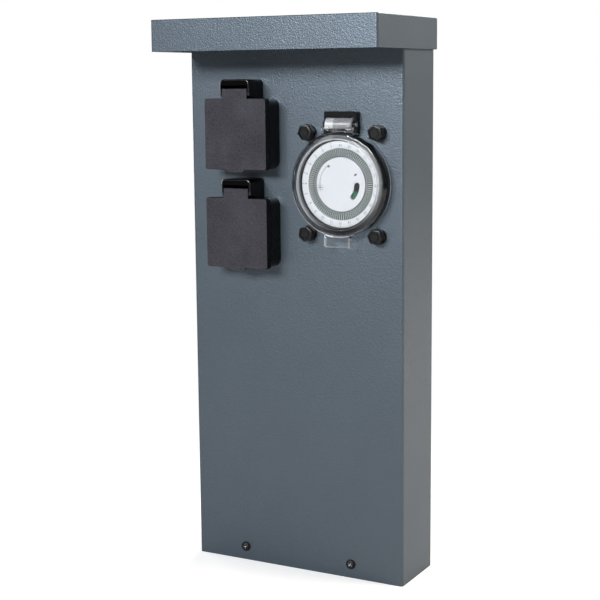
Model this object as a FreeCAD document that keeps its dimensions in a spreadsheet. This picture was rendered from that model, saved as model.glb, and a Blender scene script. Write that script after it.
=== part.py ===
import FreeCAD, Part
import Sketcher

import math
import os
import re

from FreeCAD import Matrix, Placement, Rotation, Vector

# Garden socket: a folded sheet column under a rain hood, with two lidded earthed sockets
# and a mechanical day timer under a clear cover. Millimetres. X runs right, Y back, Z up.
# The origin is the middle of the column's foot, on the ground.

doc = FreeCAD.newDocument("garden_socket")
sizes = doc.addObject("Spreadsheet::Sheet", "sizes")

DIMENSIONS = [
    ("column_width", 170, "column, side to side"),
    ("column_depth", 52, "column, front to back"),
    ("column_height", 378, "ground to the underside of the hood"),
    ("gauge", 1.5, "sheet of the column, back panel and brackets"),
    ("bend_outer", 2, "outer radius of the folds"),
    ("return_width", 14, "rear return flanges"),
    ("side_clearance", 0.3, "loose plates to the inner folds"),
    ("hood_height", 22, "skirt of the hood"),
    ("hood_front_reach", 47, "hood beyond the front of the column"),
    ("hood_side_reach", 2.5, "hood beyond each side of the column"),
    ("hood_gauge", 1.5, "sheet of the hood"),
    ("hood_gap", 0.3, "column edges to the inside of the hood"),
    ("hood_corner", 1.6, "welded corners of the hood"),
    ("hood_edge", 0.9, "folded top edges of the hood"),
    ("panel_rise", 16, "back panel above the hood's lower edge"),
    ("panel_lift", 0.5, "back panel above the ground"),
    ("bracket_depth", 36, "top bracket, front to back"),
    ("bracket_flange", 15, "welded flanges of the top bracket"),
    ("stud_pitch", 100, "between the two hood studs"),
    ("stud_radius", 2, "hood studs"),
    ("stud_length", 11, "hood studs below the hood's sheet"),
    ("stud_nut_flats", 7, "nuts on the hood studs, across flats"),
    ("stud_nut_height", 3.2, "nuts on the hood studs"),
    ("base_gauge", 2, "sheet of the base plate"),
    ("base_bend", 3, "outer radius of the base plate's folds"),
    ("base_upstand", 22, "upstands of the base plate"),
    ("anchor_pitch_x", 120, "anchor holes, side to side"),
    ("anchor_pitch_y", 24, "anchor holes, front to back"),
    ("anchor_radius", 3.25, "anchor holes"),
    ("screw_radius", 2, "housing screws"),
    ("screw_hole_gap", 0.2, "clearance holes round screws, radial"),
    ("thread_gap", 0.03, "modelled gap in a thread, radial"),
    ("screw_head_radius", 3.5, "housing screws"),
    ("screw_head_height", 2.2, "housing screws"),
    ("screw_spare", 1, "screw beyond its nut"),
    ("clinch_nut_radius", 3.6, "clinch nuts"),
    ("clinch_nut_height", 3, "clinch nuts"),
    ("base_screw_x", 44, "front base screws from the middle"),
    ("base_screw_z", 10.5, "base screws above the ground"),
    ("back_screw_inset", 8, "back screws from the sides of the column"),
    ("back_screw_drop", 20, "top back screws below the hood"),
    ("back_screw_x", "=column_width / 2 - back_screw_inset", "back screws from the middle"),
    ("back_screw_middle", "=column_height / 2", "middle back screws above the ground"),
    ("back_screw_top", "=column_height - back_screw_drop", "top back screws above the ground"),
    ("grommet_x", 40, "cable grommet from the middle"),
    ("grommet_z", 36, "cable grommet above the ground"),
    ("cable_radius", 4.5, "bore of the grommet"),
    ("grommet_neck", 8, "neck of the grommet, radius"),
    ("grommet_flange", 10.5, "flanges of the grommet, radius"),
    ("grommet_lip", 1.6, "thickness of the grommet's flanges"),
    ("clamp_width", 28, "cord clamp"),
    ("clamp_depth", 9, "cord clamp"),
    ("clamp_height", 9, "cord clamp"),
    ("clamp_screw_pitch", 19, "screws of the cord clamp"),
    ("small_screw_radius", 1.5, "clamp, terminal and insert screws"),
    ("small_head_radius", 2.8, "clamp, terminal and insert screws"),
    ("small_head_height", 1.8, "clamp, terminal and insert screws"),
    ("block_x", -24, "terminal block from the middle"),
    ("block_width", 48, "terminal block"),
    ("block_depth", 20, "terminal block"),
    ("block_height", 17, "terminal block"),
    ("block_pitch", 14, "poles of the terminal block"),
    ("block_wire_radius", 2.2, "wire holes of the terminal block"),
    ("block_well_radius", 2.4, "screw wells of the terminal block"),
    ("block_well_depth", 7, "screw wells of the terminal block"),
    ("sockets_z", 285.2, "midway between the sockets, above the ground"),
    ("socket_share", 0.214, "sockets from the middle, part of the column's width"),
    ("socket_x", "=-column_width * socket_share", "sockets from the middle"),
    ("socket_pitch", 70, "between the two sockets"),
    ("socket_face", 50, "square of the socket flange and lid"),
    ("socket_corner", 6, "corners of the socket flange"),
    ("socket_gasket", 0.8, "sheet gasket under the flange"),
    ("flange_front", 14, "front of the flange before the column"),
    ("barrel_radius", 23.2, "rear barrel of the socket"),
    ("barrel_rear", 26, "rear barrel behind the column's face"),
    ("barrel_gap", 0.3, "barrel to its cut-out, radial"),
    ("recess_radius", 21.75, "plug recess"),
    ("recess_depth", 17.5, "plug recess"),
    ("insert_depth", 14, "contact insert"),
    ("insert_gap", 0.15, "contact insert in the recess, radial"),
    ("seat_radius", 19.5, "bore behind the insert's seat"),
    ("contact_pitch", 19, "between the two contacts"),
    ("entry_radius", 2.7, "pin entries of the insert"),
    ("entry_depth", 3.5, "front wall of the insert"),
    ("sleeve_radius", 3.3, "contact sleeves, outside"),
    ("sleeve_bore", 2.45, "contact sleeves, inside"),
    ("sleeve_gap", 0.1, "contact sleeves in the insert, radial"),
    ("lug_size", 7, "terminal lugs behind the sleeves"),
    ("lug_depth", 6, "terminal lugs behind the sleeves"),
    ("rib_width", 5, "guide ribs of the insert"),
    ("rib_inner", 19.4, "guide ribs from the socket's axis"),
    ("rib_outer", 21.2, "guide ribs from the socket's axis"),
    ("rib_length", 12, "guide ribs before the insert"),
    ("clip_width", 5, "earth clip"),
    ("clip_gauge", 0.8, "earth clip"),
    ("clip_reach", 20.9, "arms of the earth clip from the axis"),
    ("clip_bulge", 2.6, "inward bend of the arms"),
    ("clip_front", 9, "tips of the arms before the column"),
    ("clip_slot_gap", 0.3, "earth clip in the insert"),
    ("socket_screw_offset", 19, "socket screws from the axis, each way"),
    ("socket_screw_radius", 1.75, "socket screws"),
    ("socket_head_radius", 3.2, "socket screws"),
    ("socket_head_height", 2, "socket screws"),
    ("socket_head_sink", 0.3, "socket screw heads below the flange"),
    ("socket_nut_flats", 6, "socket nuts"),
    ("socket_nut_height", 2.5, "socket nuts"),
    ("lid_front", 20, "front of the lid before the column"),
    ("lid_gap", 0.3, "lid to flange and housing"),
    ("lid_wall", 1.8, "skirt of the lid"),
    ("lid_face", 2.2, "front wall of the lid"),
    ("lid_corner", 2, "corners of the lid"),
    ("lid_edge", 0.6, "front edges of the lid"),
    ("hinge_rise", 29.4, "lid hinge above the socket's axis"),
    ("hinge_depth", 16, "lid hinge before the column"),
    ("knuckle_radius", 2.7, "lid knuckle"),
    ("knuckle_room", 5.1, "room for the turning knuckle, radius"),
    ("knuckle_window", 4.7, "front window of the knuckle's room, above the hinge"),
    ("tongue_corner", 1.2, "upper front edge of the tongue"),
    ("tongue_width", 20, "tongue of the lid"),
    ("tongue_side_gap", 0.3, "tongue in the housing, each side"),
    ("housing_width", 24, "hinge housing"),
    ("housing_top", 38.4, "hinge housing above the axis"),
    ("housing_corner", 3, "upper corners of the hinge housing"),
    ("housing_edge", 1, "front edges of the hinge housing"),
    ("lid_pin_radius", 1.25, "lid hinge pin"),
    ("running_gap", 0.05, "pins in their turning bores, radial"),
    ("fixed_gap", 0.02, "pins in their fixed holes, radial"),
    ("pin_wall", 0.8, "housing wall beyond the pin's blind end"),
    ("spring_room", 9, "gap between the two knuckles"),
    ("spring_wire", 0.5, "lid spring, wire diameter"),
    ("spring_radius", 1.9, "lid spring, mean radius"),
    ("spring_gap", 0.4, "lid spring to the walls of its room"),
    ("spring_turns", 8, "lid spring"),
    ("spring_length", 6.4, "lid spring"),
    ("finger_top", 16.6, "finger tab of the lid, upper width"),
    ("finger_bottom", 11.2, "finger tab of the lid, lower width"),
    ("finger_drop", 1.6, "finger tab below the lid"),
    ("finger_gauge", 1.8, "finger tab of the lid"),
    ("seal_inner", 20, "lid seal, inner radius"),
    ("seal_outer", 22.9, "lid seal, outer radius"),
    ("timer_z", 286, "timer's axis above the ground"),
    ("timer_share", 0.2332, "timer from the middle, part of the column's width"),
    ("timer_x", "=column_width * timer_share", "timer from the middle"),
    ("dial_radius", 30.2, "dial, outside"),
    ("dial_gap", 0.5, "dial to the collar, radial"),
    ("collar_wall", 0.9, "wall of the timer collar"),
    ("collar_inner", "=dial_radius + dial_gap", "timer collar, inside"),
    ("collar_radius", "=collar_inner + collar_wall", "timer collar"),
    ("collar_front", 2.2, "timer collar before the column"),
    ("collar_edge", 0.3, "rounded front edge of the collar"),
    ("collar_gap", 0.3, "collar to its cut-out, radial"),
    ("bezel_gap", 0.1, "bezel ring on the collar, radial"),
    ("bezel_width", 1.7, "bezel ring, radial"),
    ("bezel_edge", 0.5, "rounded front edges of the bezel ring"),
    ("cover_radius", 36.5, "clear cover, outside"),
    ("cover_margin", 6.5, "bolting flange beyond the cover, up and down"),
    ("timer_gasket", 1, "sheet gasket behind the column"),
    ("flange_width", 68, "bolting flange of the timer"),
    ("flange_height", "=2 * (cover_radius + cover_margin)", "bolting flange of the timer"),
    ("flange_corner", 7, "bolting flange of the timer"),
    ("flange_gauge", 3, "bolting flange of the timer"),
    ("case_radius", 30, "timer case"),
    ("case_inner", 28, "timer case, inside"),
    ("case_seat", 26.5, "motor room of the case, radius"),
    ("case_rear", 25, "timer case behind the column's face"),
    ("case_floor", 2, "rear wall of the case"),
    ("bolt_inset_x", 7, "timer bolts from the sides of the flange"),
    ("bolt_inset_z", 7.5, "timer bolts from the ends of the flange"),
    ("bolt_pitch_x", "=flange_width - 2 * bolt_inset_x", "timer bolts, side to side"),
    ("bolt_pitch_z", "=flange_height - 2 * bolt_inset_z", "timer bolts, up and down"),
    ("bolt_radius", 2.9, "timer bolts"),
    ("bolt_hole_radius", 3.2, "holes for the timer bolts"),
    ("bolt_flats", 10, "timer bolts, across flats"),
    ("bolt_head", 6.3, "heads of the timer bolts"),
    ("bolt_spare", 1, "bolt beyond its nut"),
    ("washer_radius", 5.7, "washers of the timer bolts"),
    ("washer_gauge", 1.6, "washers of the timer bolts"),
    ("nut_height", 5, "nuts of the timer bolts"),
    ("bridge_radius", 27.8, "inner plate of the timer"),
    ("bridge_seat", 3, "seat of the inner plate behind the face"),
    ("bridge_gauge", 1.4, "inner plate of the timer"),
    ("spindle_radius", 2.5, "spindle of the dial"),
    ("gear_module", 0.7, "dial gear and motor pinion"),
    ("gear_teeth", 48, "dial gear"),
    ("pinion_teeth", 12, "motor pinion"),
    ("tooth_addendum", 0.6, "gear teeth above the pitch circle"),
    ("tooth_dedendum", 0.85, "gear teeth below the pitch circle"),
    ("tooth_tip", 0.5, "gear teeth, width at the tip"),
    ("tooth_root", 1.35, "gear teeth, width at the root"),
    ("gear_rear", 1.3, "back of the gears behind the face"),
    ("pinion_front", 0.6, "front of the pinion before the face"),
    ("pinion_shaft", 1.2, "pinion shaft, radius"),
    ("pinion_shaft_length", 6, "pinion shaft behind the pinion"),
    ("motor_radius", 13.4, "timer motor"),
    ("motor_depth", 13, "timer motor"),
    ("motor_offset", 9, "timer motor from the axis, each way"),
    ("switch_x", 7, "micro switch, middle from the axis"),
    ("switch_z", 14.4, "micro switch, middle above the axis"),
    ("switch_width", 19.8, "micro switch"),
    ("switch_height", 10.2, "micro switch"),
    ("switch_depth", 6.4, "micro switch"),
    ("terminals_width", 34, "rear terminals of the timer"),
    ("terminals_height", 12, "rear terminals of the timer"),
    ("terminals_depth", 8, "rear terminals of the timer"),
    ("hub_radius", 5, "hub of the dial"),
    ("hub_rear", 0.8, "back of the dial disc before the face"),
    ("disc_front", 2.2, "front of the dial disc before the face"),
    ("dial_front", 6, "number ring before the face"),
    ("ring_inner", 24.9, "number ring, inside"),
    ("carrier_inner", 19.2, "tab carrier, inside"),
    ("carrier_gap", 0.1, "tab carrier to the number ring"),
    ("carrier_front", 3.6, "tab carrier before the face"),
    ("tab_count", 96, "quarter hours of a day"),
    ("tab_inner", 19.5, "tabs from the axis"),
    ("tab_outer", 24.6, "tabs from the axis"),
    ("tab_step", 21, "step of the tabs from the axis"),
    ("tab_width", 0.64, "tabs"),
    ("tab_front", 5.8, "tabs before the face"),
    ("tab_low", 4.9, "inner ends of the tabs before the face"),
    ("plate_radius", 18.9, "centre plate"),
    ("plate_rear", 3.6, "back of the centre plate"),
    ("plate_front", 5.4, "front of the centre plate"),
    ("slot_radius", 12.6, "curved slot from the axis"),
    ("slot_half", 1.95, "half the width of the curved slot"),
    ("slot_start", -1.6, "upper end of the slot, degrees"),
    ("slot_end", -42.4, "lower end of the slot, degrees"),
    ("slide_rear", 2.6, "back of the slide"),
    ("slide_front", 3.4, "front of the slide"),
    ("slide_half", 2.3, "half the width of the slide"),
    ("slide_start", 26, "upper end of the slide, degrees"),
    ("slide_end", -60, "lower end of the slide, degrees"),
    ("knob_front", 6.3, "front of the mode knob"),
    ("knob_half", 1.7, "half the width of the mode knob"),
    ("knob_start", -2.9, "upper end of the mode knob, degrees"),
    ("knob_end", -12.9, "lower end of the mode knob, degrees"),
    ("cover_front", 12, "clear cover before the column"),
    ("cover_lift", 0.4, "rim of the cover above the column"),
    ("cover_wall", 1.6, "side wall of the cover"),
    ("cover_window", 1.5, "front wall of the cover"),
    ("window_inset", 4.9, "raised window inside the cover's edge"),
    ("window_radius", "=cover_radius - window_inset", "raised window of the cover"),
    ("window_step", 1.2, "raised window above the shoulder"),
    ("shoulder_inset", 1.9, "shoulder inside the cover's edge"),
    ("shoulder_radius", "=cover_radius - shoulder_inset", "outer edge of the shoulder"),
    ("shoulder_drop", 1.8, "sloping edge of the shoulder"),
    ("cover_hinge_over", 4.7, "cover hinge above the cover's edge"),
    ("cover_hinge_rise", "=cover_radius + cover_hinge_over", "cover hinge above the timer's axis"),
    ("cover_hinge_depth", 6, "cover hinge before the column"),
    ("cover_knuckle", 4.6, "knuckle of the cover, radius"),
    ("cover_knuckle_half", 9.9, "half the width of the cover's knuckle"),
    ("neck_inner", 6.5, "arms of the cover from the middle"),
    ("neck_gauge", 1.8, "arms of the cover"),
    ("neck_drop", 1.5, "top of the arms below the hinge"),
    ("neck_lap", 2, "arms lap beyond the raised window"),
    ("neck_foot", "=window_radius + neck_lap", "foot of the arms above the axis"),
    ("grip_half", 10.1, "half the width of the cover's finger tab"),
    ("grip_reach", 7.1, "finger tab below the cover's edge"),
    ("grip_lap", 1.5, "finger tab laps inside the cover's edge"),
    ("grip_bottom", "=cover_radius + grip_reach", "end of the finger tab below the axis"),
    ("grip_root", "=cover_radius - grip_lap", "root of the finger tab below the axis"),
    ("grip_gauge", 1.4, "finger tab"),
    ("grip_rib_short", 0.8, "side ribs end above the end of the tab"),
    ("bracket_half", 12.3, "half the width of the hinge bracket"),
    ("bracket_over", 9, "top of the hinge bracket above its pin"),
    ("bracket_top", "=cover_hinge_rise + bracket_over", "top of the hinge bracket above the axis"),
    ("bracket_base", 1, "base of the hinge bracket"),
    ("bracket_side", 2.1, "side plates of the hinge bracket"),
    ("bracket_bar", 3.9, "top bar of the hinge bracket"),
    ("bracket_under", 10.2, "side plates start below the pin"),
    ("bracket_bottom", "=cover_hinge_rise - bracket_under", "side plates start above the axis"),
    ("bracket_corner", 1, "upper corners of the hinge bracket"),
    ("bracket_arc_gap", 0.6, "bracket to the rim of the cover"),
    ("bracket_tip", 2.4, "rounded ears round the pin"),
    ("peg_radius", 1.5, "fixing pegs of the hinge bracket"),
    ("peg_pitch", 12, "fixing pegs of the hinge bracket"),
    ("peg_over", 5.3, "fixing pegs above the cover's pin"),
    ("peg_rise", "=cover_hinge_rise + peg_over", "fixing pegs above the timer's axis"),
    ("peg_length", 4, "fixing pegs behind the face"),
    ("cover_pin_radius", 1.6, "cover hinge pin"),
    ("cover_pin_spare", 0.5, "pin beyond each side of the bracket"),
    ("cut_spare", 1, "cutting depth beyond a wall"),
]

for row, (alias, amount, note) in enumerate(DIMENSIONS, start=1):
    sizes.set("A%d" % row, note)
    sizes.set("B%d" % row, str(amount))
    sizes.setAlias("B%d" % row, alias)
doc.recompute()

ALIASES = {alias for alias, amount, note in DIMENSIONS}


def formula(text):
    """Write the sheet's name before each of its sizes in an expression."""
    return re.sub(r"[a-z_]+", lambda word: "sizes." + word[0] if word[0] in ALIASES else word[0], text)


def number(text):
    """The present value of an expression, in millimetres or degrees."""
    return float(sizes.evalExpression(formula(text)))


def bind(feature, name, text):
    """Tie a property of a feature to the sheet."""
    feature.setExpression(name, formula(text))


# Places and lengths that several pieces share, as expressions of the sheet.
FRONT = "(column_depth / 2)"
BACK = "(-column_depth / 2)"
INNER_HALF = "(column_width / 2 - bend_outer - side_clearance)"
COLUMN_TOP = "(column_height + hood_height - hood_gauge - hood_gap)"
HOOD_INSIDE = "(column_height + hood_height - hood_gauge)"
SCREW_HOLE = "(screw_radius + screw_hole_gap)"
UPPER_Z = "(sockets_z + socket_pitch / 2)"
LOWER_Z = "(sockets_z - socket_pitch / 2)"
GEAR_PITCH = "(gear_module * gear_teeth / 2)"
PINION_PITCH = "(gear_module * pinion_teeth / 2)"
PINION_OFFSET = "((gear_module * gear_teeth / 2 + gear_module * pinion_teeth / 2) * cos(45))"
FACE_Y = "(-column_depth / 2)"

nodes = []


def new_body(label, x="0", y="0", z="0"):
    """A piece built from sketches, with its own origin at x, y, z."""
    body = doc.addObject("PartDesign::Body", label)
    body.Label = label
    bind(body, ".Placement.Base.x", x)
    bind(body, ".Placement.Base.y", y)
    bind(body, ".Placement.Base.z", z)
    nodes.append(body)
    return body


def new_group(label, solids):
    """Like fasteners, or parts that lie apart, kept as separate solids in one piece."""
    group = doc.addObject("Part::Feature", label)
    group.Label = label
    group.Shape = Part.makeCompound(solids)
    nodes.append(group)
    return group


PLANES = {"front": "XZ_Plane", "side": "YZ_Plane", "top": "XY_Plane"}


def new_sketch(body, plane, offset="0"):
    """A sketch on the front, side or top plane. Offsets run to the front, right or up."""
    sketch = body.newObject("Sketcher::SketchObject", "outline")
    support = [item for item in body.Origin.OriginFeatures if item.Role == PLANES[plane]][0]
    sketch.AttachmentSupport = [(support, "")]
    sketch.MapMode = "FlatFace"
    bind(sketch, ".AttachmentOffset.Base.z", offset)
    return sketch


def hold(sketch, kind, place, text, value):
    """Fix one coordinate or radius of a sketch to an expression."""
    index = sketch.addConstraint(Sketcher.Constraint(kind, *place, value))
    bind(sketch, "Constraints[%d]" % index, text)


def hold_point(sketch, geometry, end, x, y):
    """Fix a point of a sketch to two expressions."""
    hold(sketch, "DistanceX", (-1, 1, geometry, end), x, number(x))
    hold(sketch, "DistanceY", (-1, 1, geometry, end), y, number(y))


def circle(sketch, x, y, radius):
    """A circle with its centre and radius tied to the sheet."""
    centre = Vector(number(x), number(y), 0)
    index = sketch.addGeometry(Part.Circle(centre, Vector(0, 0, 1), number(radius)), False)
    hold_point(sketch, index, 3, x, y)
    hold(sketch, "Radius", (index,), radius, number(radius))


def outline(sketch, corners):
    """A closed outline. A corner with a third value is rounded, and its sides are square to it."""
    spots = [Vector(number(corner[0]), number(corner[1]), 0) for corner in corners]
    count = len(corners)
    entries = []
    exits = []
    for index, corner in enumerate(corners):
        if len(corner) == 2:
            entries.append((corner[0], corner[1]))
            exits.append((corner[0], corner[1]))
            continue
        before = (spots[index - 1] - spots[index]).normalize()
        after = (spots[(index + 1) % count] - spots[index]).normalize()
        for way, ends in ((before, entries), (after, exits)):
            x = "(%s) + %d * (%s)" % (corner[0], round(way.x), corner[2])
            y = "(%s) + %d * (%s)" % (corner[1], round(way.y), corner[2])
            ends.append((x, y))
    lines = []
    for index in range(count):
        start = exits[index]
        end = entries[(index + 1) % count]
        ends = [Vector(number(point[0]), number(point[1]), 0) for point in (start, end)]
        lines.append(sketch.addGeometry(Part.LineSegment(*ends), False))
    for index, corner in enumerate(corners):
        line = lines[index]
        last = lines[index - 1]
        hold_point(sketch, line, 1, *exits[index])
        if len(corner) == 2:
            sketch.addConstraint(Sketcher.Constraint("Coincident", last, 2, line, 1))
            continue
        hold_point(sketch, last, 2, *entries[index])
        entry = Vector(number(entries[index][0]), number(entries[index][1]), 0)
        leave = Vector(number(exits[index][0]), number(exits[index][1]), 0)
        centre = entry + leave - spots[index]
        middle = centre + (spots[index] - centre) / math.sqrt(2)
        arc = sketch.addGeometry(Part.Arc(entry, middle, leave), False)
        first = 1 if sketch.getPoint(arc, 1).distanceToPoint(entry) < 1e-6 else 2
        sketch.addConstraint(Sketcher.Constraint("Coincident", last, 2, arc, first))
        sketch.addConstraint(Sketcher.Constraint("Coincident", line, 1, arc, 3 - first))
        hold(sketch, "Radius", (arc,), corner[2], number(corner[2]))


def rectangle(sketch, left, bottom, right, top, radius=None):
    """A rectangle, with all four corners rounded if a radius is given."""
    corners = [(left, bottom), (right, bottom), (right, top), (left, top)]
    if radius:
        corners = [corner + (radius,) for corner in corners]
    outline(sketch, corners)


def curved_slot(sketch, radius, half, start, end):
    """A slot with round ends, bent round the sketch's origin, from start down to end in degrees."""
    origin = Vector(0, 0, 0)
    axis = Vector(0, 0, 1)
    low = math.radians(number(end))
    high = math.radians(number(start))
    arcs = []
    for side in ("+", "-"):
        reach = "%s %s %s" % (radius, side, half)
        arc = Part.ArcOfCircle(Part.Circle(origin, axis, number(reach)), low, high)
        index = sketch.addGeometry(arc, False)
        sketch.addConstraint(Sketcher.Constraint("Coincident", index, 3, -1, 1))
        hold(sketch, "Radius", (index,), reach, number(reach))
        for point, angle in ((1, end), (2, start)):
            height = "(%s) * sin(%s)" % (reach, angle)
            hold(sketch, "DistanceY", (-1, 1, index, point), height, number(height))
        arcs.append(index)
    outer, inner = arcs
    for point, angle, turn in ((2, high, 0), (1, low, math.pi)):
        centre = Vector(math.cos(angle), math.sin(angle), 0) * number(radius)
        ring = Part.Circle(centre, axis, number(half))
        cap = sketch.addGeometry(Part.ArcOfCircle(ring, angle + turn, angle + turn + math.pi), False)
        outer_end = 1 if point == 2 else 2
        sketch.addConstraint(Sketcher.Constraint("Tangent", cap, outer_end, outer, point))
        sketch.addConstraint(Sketcher.Constraint("Coincident", cap, 3 - outer_end, inner, point))


def pad(body, sketch, length, back=False):
    """Material along the sketch's normal: to the front, right or up, or the other way."""
    feature = body.newObject("PartDesign::Pad", "pad")
    feature.Profile = sketch
    bind(feature, "Length", length)
    feature.Reversed = back
    doc.recompute()
    return feature


def cut(body, sketch, length, forward=False):
    """A pocket against the sketch's normal: to the back, left or down, or the other way."""
    before = body.Shape.Volume
    feature = body.newObject("PartDesign::Pocket", "pocket")
    feature.Profile = sketch
    bind(feature, "Length", length)
    feature.Reversed = forward
    doc.recompute()
    if body.Shape.Volume > before - 1e-6:
        raise ValueError("a pocket of %s removes nothing" % body.Label)
    return feature


def revolve(body, sketch, axis):
    """A turned solid round an axis of its sketch."""
    feature = body.newObject("PartDesign::Revolution", "revolution")
    feature.Profile = sketch
    feature.ReferenceAxis = (sketch, [axis])
    feature.Angle = 360
    doc.recompute()
    return feature


def edges_where(feature, test):
    """Names of the edges whose middle and ends satisfy a test."""
    found = []
    for index, edge in enumerate(feature.Shape.Edges, start=1):
        middle = edge.valueAt((edge.FirstParameter + edge.LastParameter) / 2)
        if all(test(point) for point in [middle] + [vertex.Point for vertex in edge.Vertexes]):
            found.append("Edge%d" % index)
    return found


def fillet(body, feature, test, radius):
    """Round the edges of a feature that satisfy a test."""
    rounded = body.newObject("PartDesign::Fillet", "fillet")
    rounded.Base = (feature, edges_where(feature, test))
    bind(rounded, "Radius", radius)
    doc.recompute()
    return rounded


def turned_y(radius, rear, front, x=0.0, z=0.0, bore=0.0):
    """A cylinder along Y between two places before the column's middle plane, bored if asked."""
    start = Vector(x, -rear, z)
    solid = Part.makeCylinder(radius, front - rear, start, Vector(0, -1, 0))
    if bore:
        solid = solid.cut(Part.makeCylinder(bore, front - rear, start, Vector(0, -1, 0)))
    return solid


def hexagon_y(flats, rear, front, x, z, bore=0.0):
    """A hexagon along Y between two places before the column's middle plane, bored if asked."""
    reach = flats / math.sqrt(3)
    points = []
    for step in range(7):
        angle = math.radians(60 * step)
        points.append(Vector(x + reach * math.cos(angle), -rear, z + reach * math.sin(angle)))
    solid = Part.Face(Part.makePolygon(points)).extrude(Vector(0, rear - front, 0))
    if bore:
        solid = solid.cut(Part.makeCylinder(bore, front - rear, Vector(x, -rear, z), Vector(0, -1, 0)))
    return solid


# Column. One sheet folded into front, sides and rear returns. The controls' cut-outs are
# in the front, and the returns stop below the hood to let its rear skirt come down flush.

def make_column_shell():
    body = new_body("column_shell")
    half = "column_width / 2"
    deep = "column_depth / 2"
    inner = "(bend_outer - gauge)"
    profile = new_sketch(body, "top")
    outline(profile, [
        ("-%s + return_width" % half, deep),
        ("-%s" % half, deep, "bend_outer"),
        ("-%s" % half, "-%s" % deep, "bend_outer"),
        (half, "-%s" % deep, "bend_outer"),
        (half, deep, "bend_outer"),
        ("%s - return_width" % half, deep),
        ("%s - return_width" % half, "%s - gauge" % deep),
        ("%s - gauge" % half, "%s - gauge" % deep, inner),
        ("%s - gauge" % half, "-%s + gauge" % deep, inner),
        ("-%s + gauge" % half, "-%s + gauge" % deep, inner),
        ("-%s + gauge" % half, "%s - gauge" % deep, inner),
        ("-%s + return_width" % half, "%s - gauge" % deep),
    ])
    pad(body, profile, COLUMN_TOP)

    notch = new_sketch(body, "top", "%s + cut_spare" % COLUMN_TOP)
    rectangle(notch, "-%s - cut_spare" % half, "%s - hood_gauge - hood_gap" % deep,
              "%s + cut_spare" % half, "%s + cut_spare" % deep)
    cut(body, notch, "%s + cut_spare - column_height + hood_gap" % COLUMN_TOP)

    holes = new_sketch(body, "front", FRONT)
    for height in (UPPER_Z, LOWER_Z):
        circle(holes, "socket_x", height, "barrel_radius + barrel_gap")
        for sign in ("+", "-"):
            circle(holes, "socket_x %s socket_screw_offset" % sign,
                   "%s %s socket_screw_offset" % (height, sign),
                   "socket_screw_radius + screw_hole_gap")
    circle(holes, "timer_x", "timer_z", "collar_radius + collar_gap")
    for x in ("+", "-"):
        for z in ("+", "-"):
            circle(holes, "timer_x %s bolt_pitch_x / 2" % x,
                   "timer_z %s bolt_pitch_z / 2" % z, "bolt_hole_radius")
        circle(holes, "timer_x %s peg_pitch / 2" % x, "timer_z + peg_rise",
               "peg_radius + screw_hole_gap / 2")
        circle(holes, "%s base_screw_x" % x, "base_screw_z", SCREW_HOLE)
    cut(body, holes, "gauge + cut_spare")

    returns = new_sketch(body, "front", "-column_depth / 2 + gauge + cut_spare")
    back_holes(returns)
    cut(body, returns, "gauge + 2 * cut_spare")


def back_holes(sketch):
    """Six clearance holes for the back screws."""
    for sign in ("", "-"):
        for height in ("base_screw_z", "back_screw_middle", "back_screw_top"):
            circle(sketch, "%sback_screw_x" % sign, height, SCREW_HOLE)


# Back panel. A flat sheet behind the returns. It runs up inside the hood's rear skirt.

def make_back_panel():
    body = new_body("back_panel")
    sheet = new_sketch(body, "front", "%s + gauge" % BACK)
    rectangle(sheet, "-" + INNER_HALF, "panel_lift", INNER_HALF, "column_height + panel_rise")
    pad(body, sheet, "gauge")
    holes = new_sketch(body, "front", "%s + 2 * gauge + cut_spare" % BACK)
    back_holes(holes)
    circle(holes, "grommet_x", "grommet_z", "grommet_neck")
    cut(body, holes, "gauge + 2 * cut_spare")


# Hood. A tray folded down on all four sides and welded at its corners.

def make_hood():
    body = new_body("hood")
    side = "column_width / 2 + hood_side_reach"
    front = "-column_depth / 2 - hood_front_reach"
    rear = "column_depth / 2"
    outside = new_sketch(body, "top", "column_height")
    rectangle(outside, "-(%s)" % side, front, side, rear, "hood_corner")
    tray = pad(body, outside, "hood_height")
    top = number("column_height + hood_height")
    fillet(body, tray, lambda point: abs(point.z - top) < 1e-4, "hood_edge")
    inside = new_sketch(body, "top", "column_height")
    rectangle(inside, "-(%s - hood_gauge)" % side, "%s + hood_gauge" % front,
              "%s - hood_gauge" % side, "%s - hood_gauge" % rear)
    cut(body, inside, "hood_height - hood_gauge", forward=True)


def make_hood_fixings():
    under = number(HOOD_INSIDE)
    plate = number(HOOD_INSIDE + " - gauge")
    studs = []
    nuts = []
    for side in (-1, 1):
        x = side * number("stud_pitch / 2")
        studs.append(Part.makeCylinder(number("stud_radius"), number("stud_length"),
                                       Vector(x, 0, under), Vector(0, 0, -1)))
        reach = number("stud_nut_flats / sqrt(3)")
        corners = [Vector(x + reach * math.cos(math.radians(60 * step)),
                          reach * math.sin(math.radians(60 * step)), plate) for step in range(7)]
        nut = Part.Face(Part.makePolygon(corners)).extrude(Vector(0, 0, -number("stud_nut_height")))
        bore = Part.makeCylinder(number("stud_radius + thread_gap"), number("stud_nut_height"),
                                 Vector(x, 0, plate), Vector(0, 0, -1))
        nuts.append(nut.cut(bore))
    new_group("hood_studs", studs)
    new_group("hood_nuts", nuts)


# Top bracket. A folded channel welded between the column's sides. The hood is bolted to it.

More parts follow.
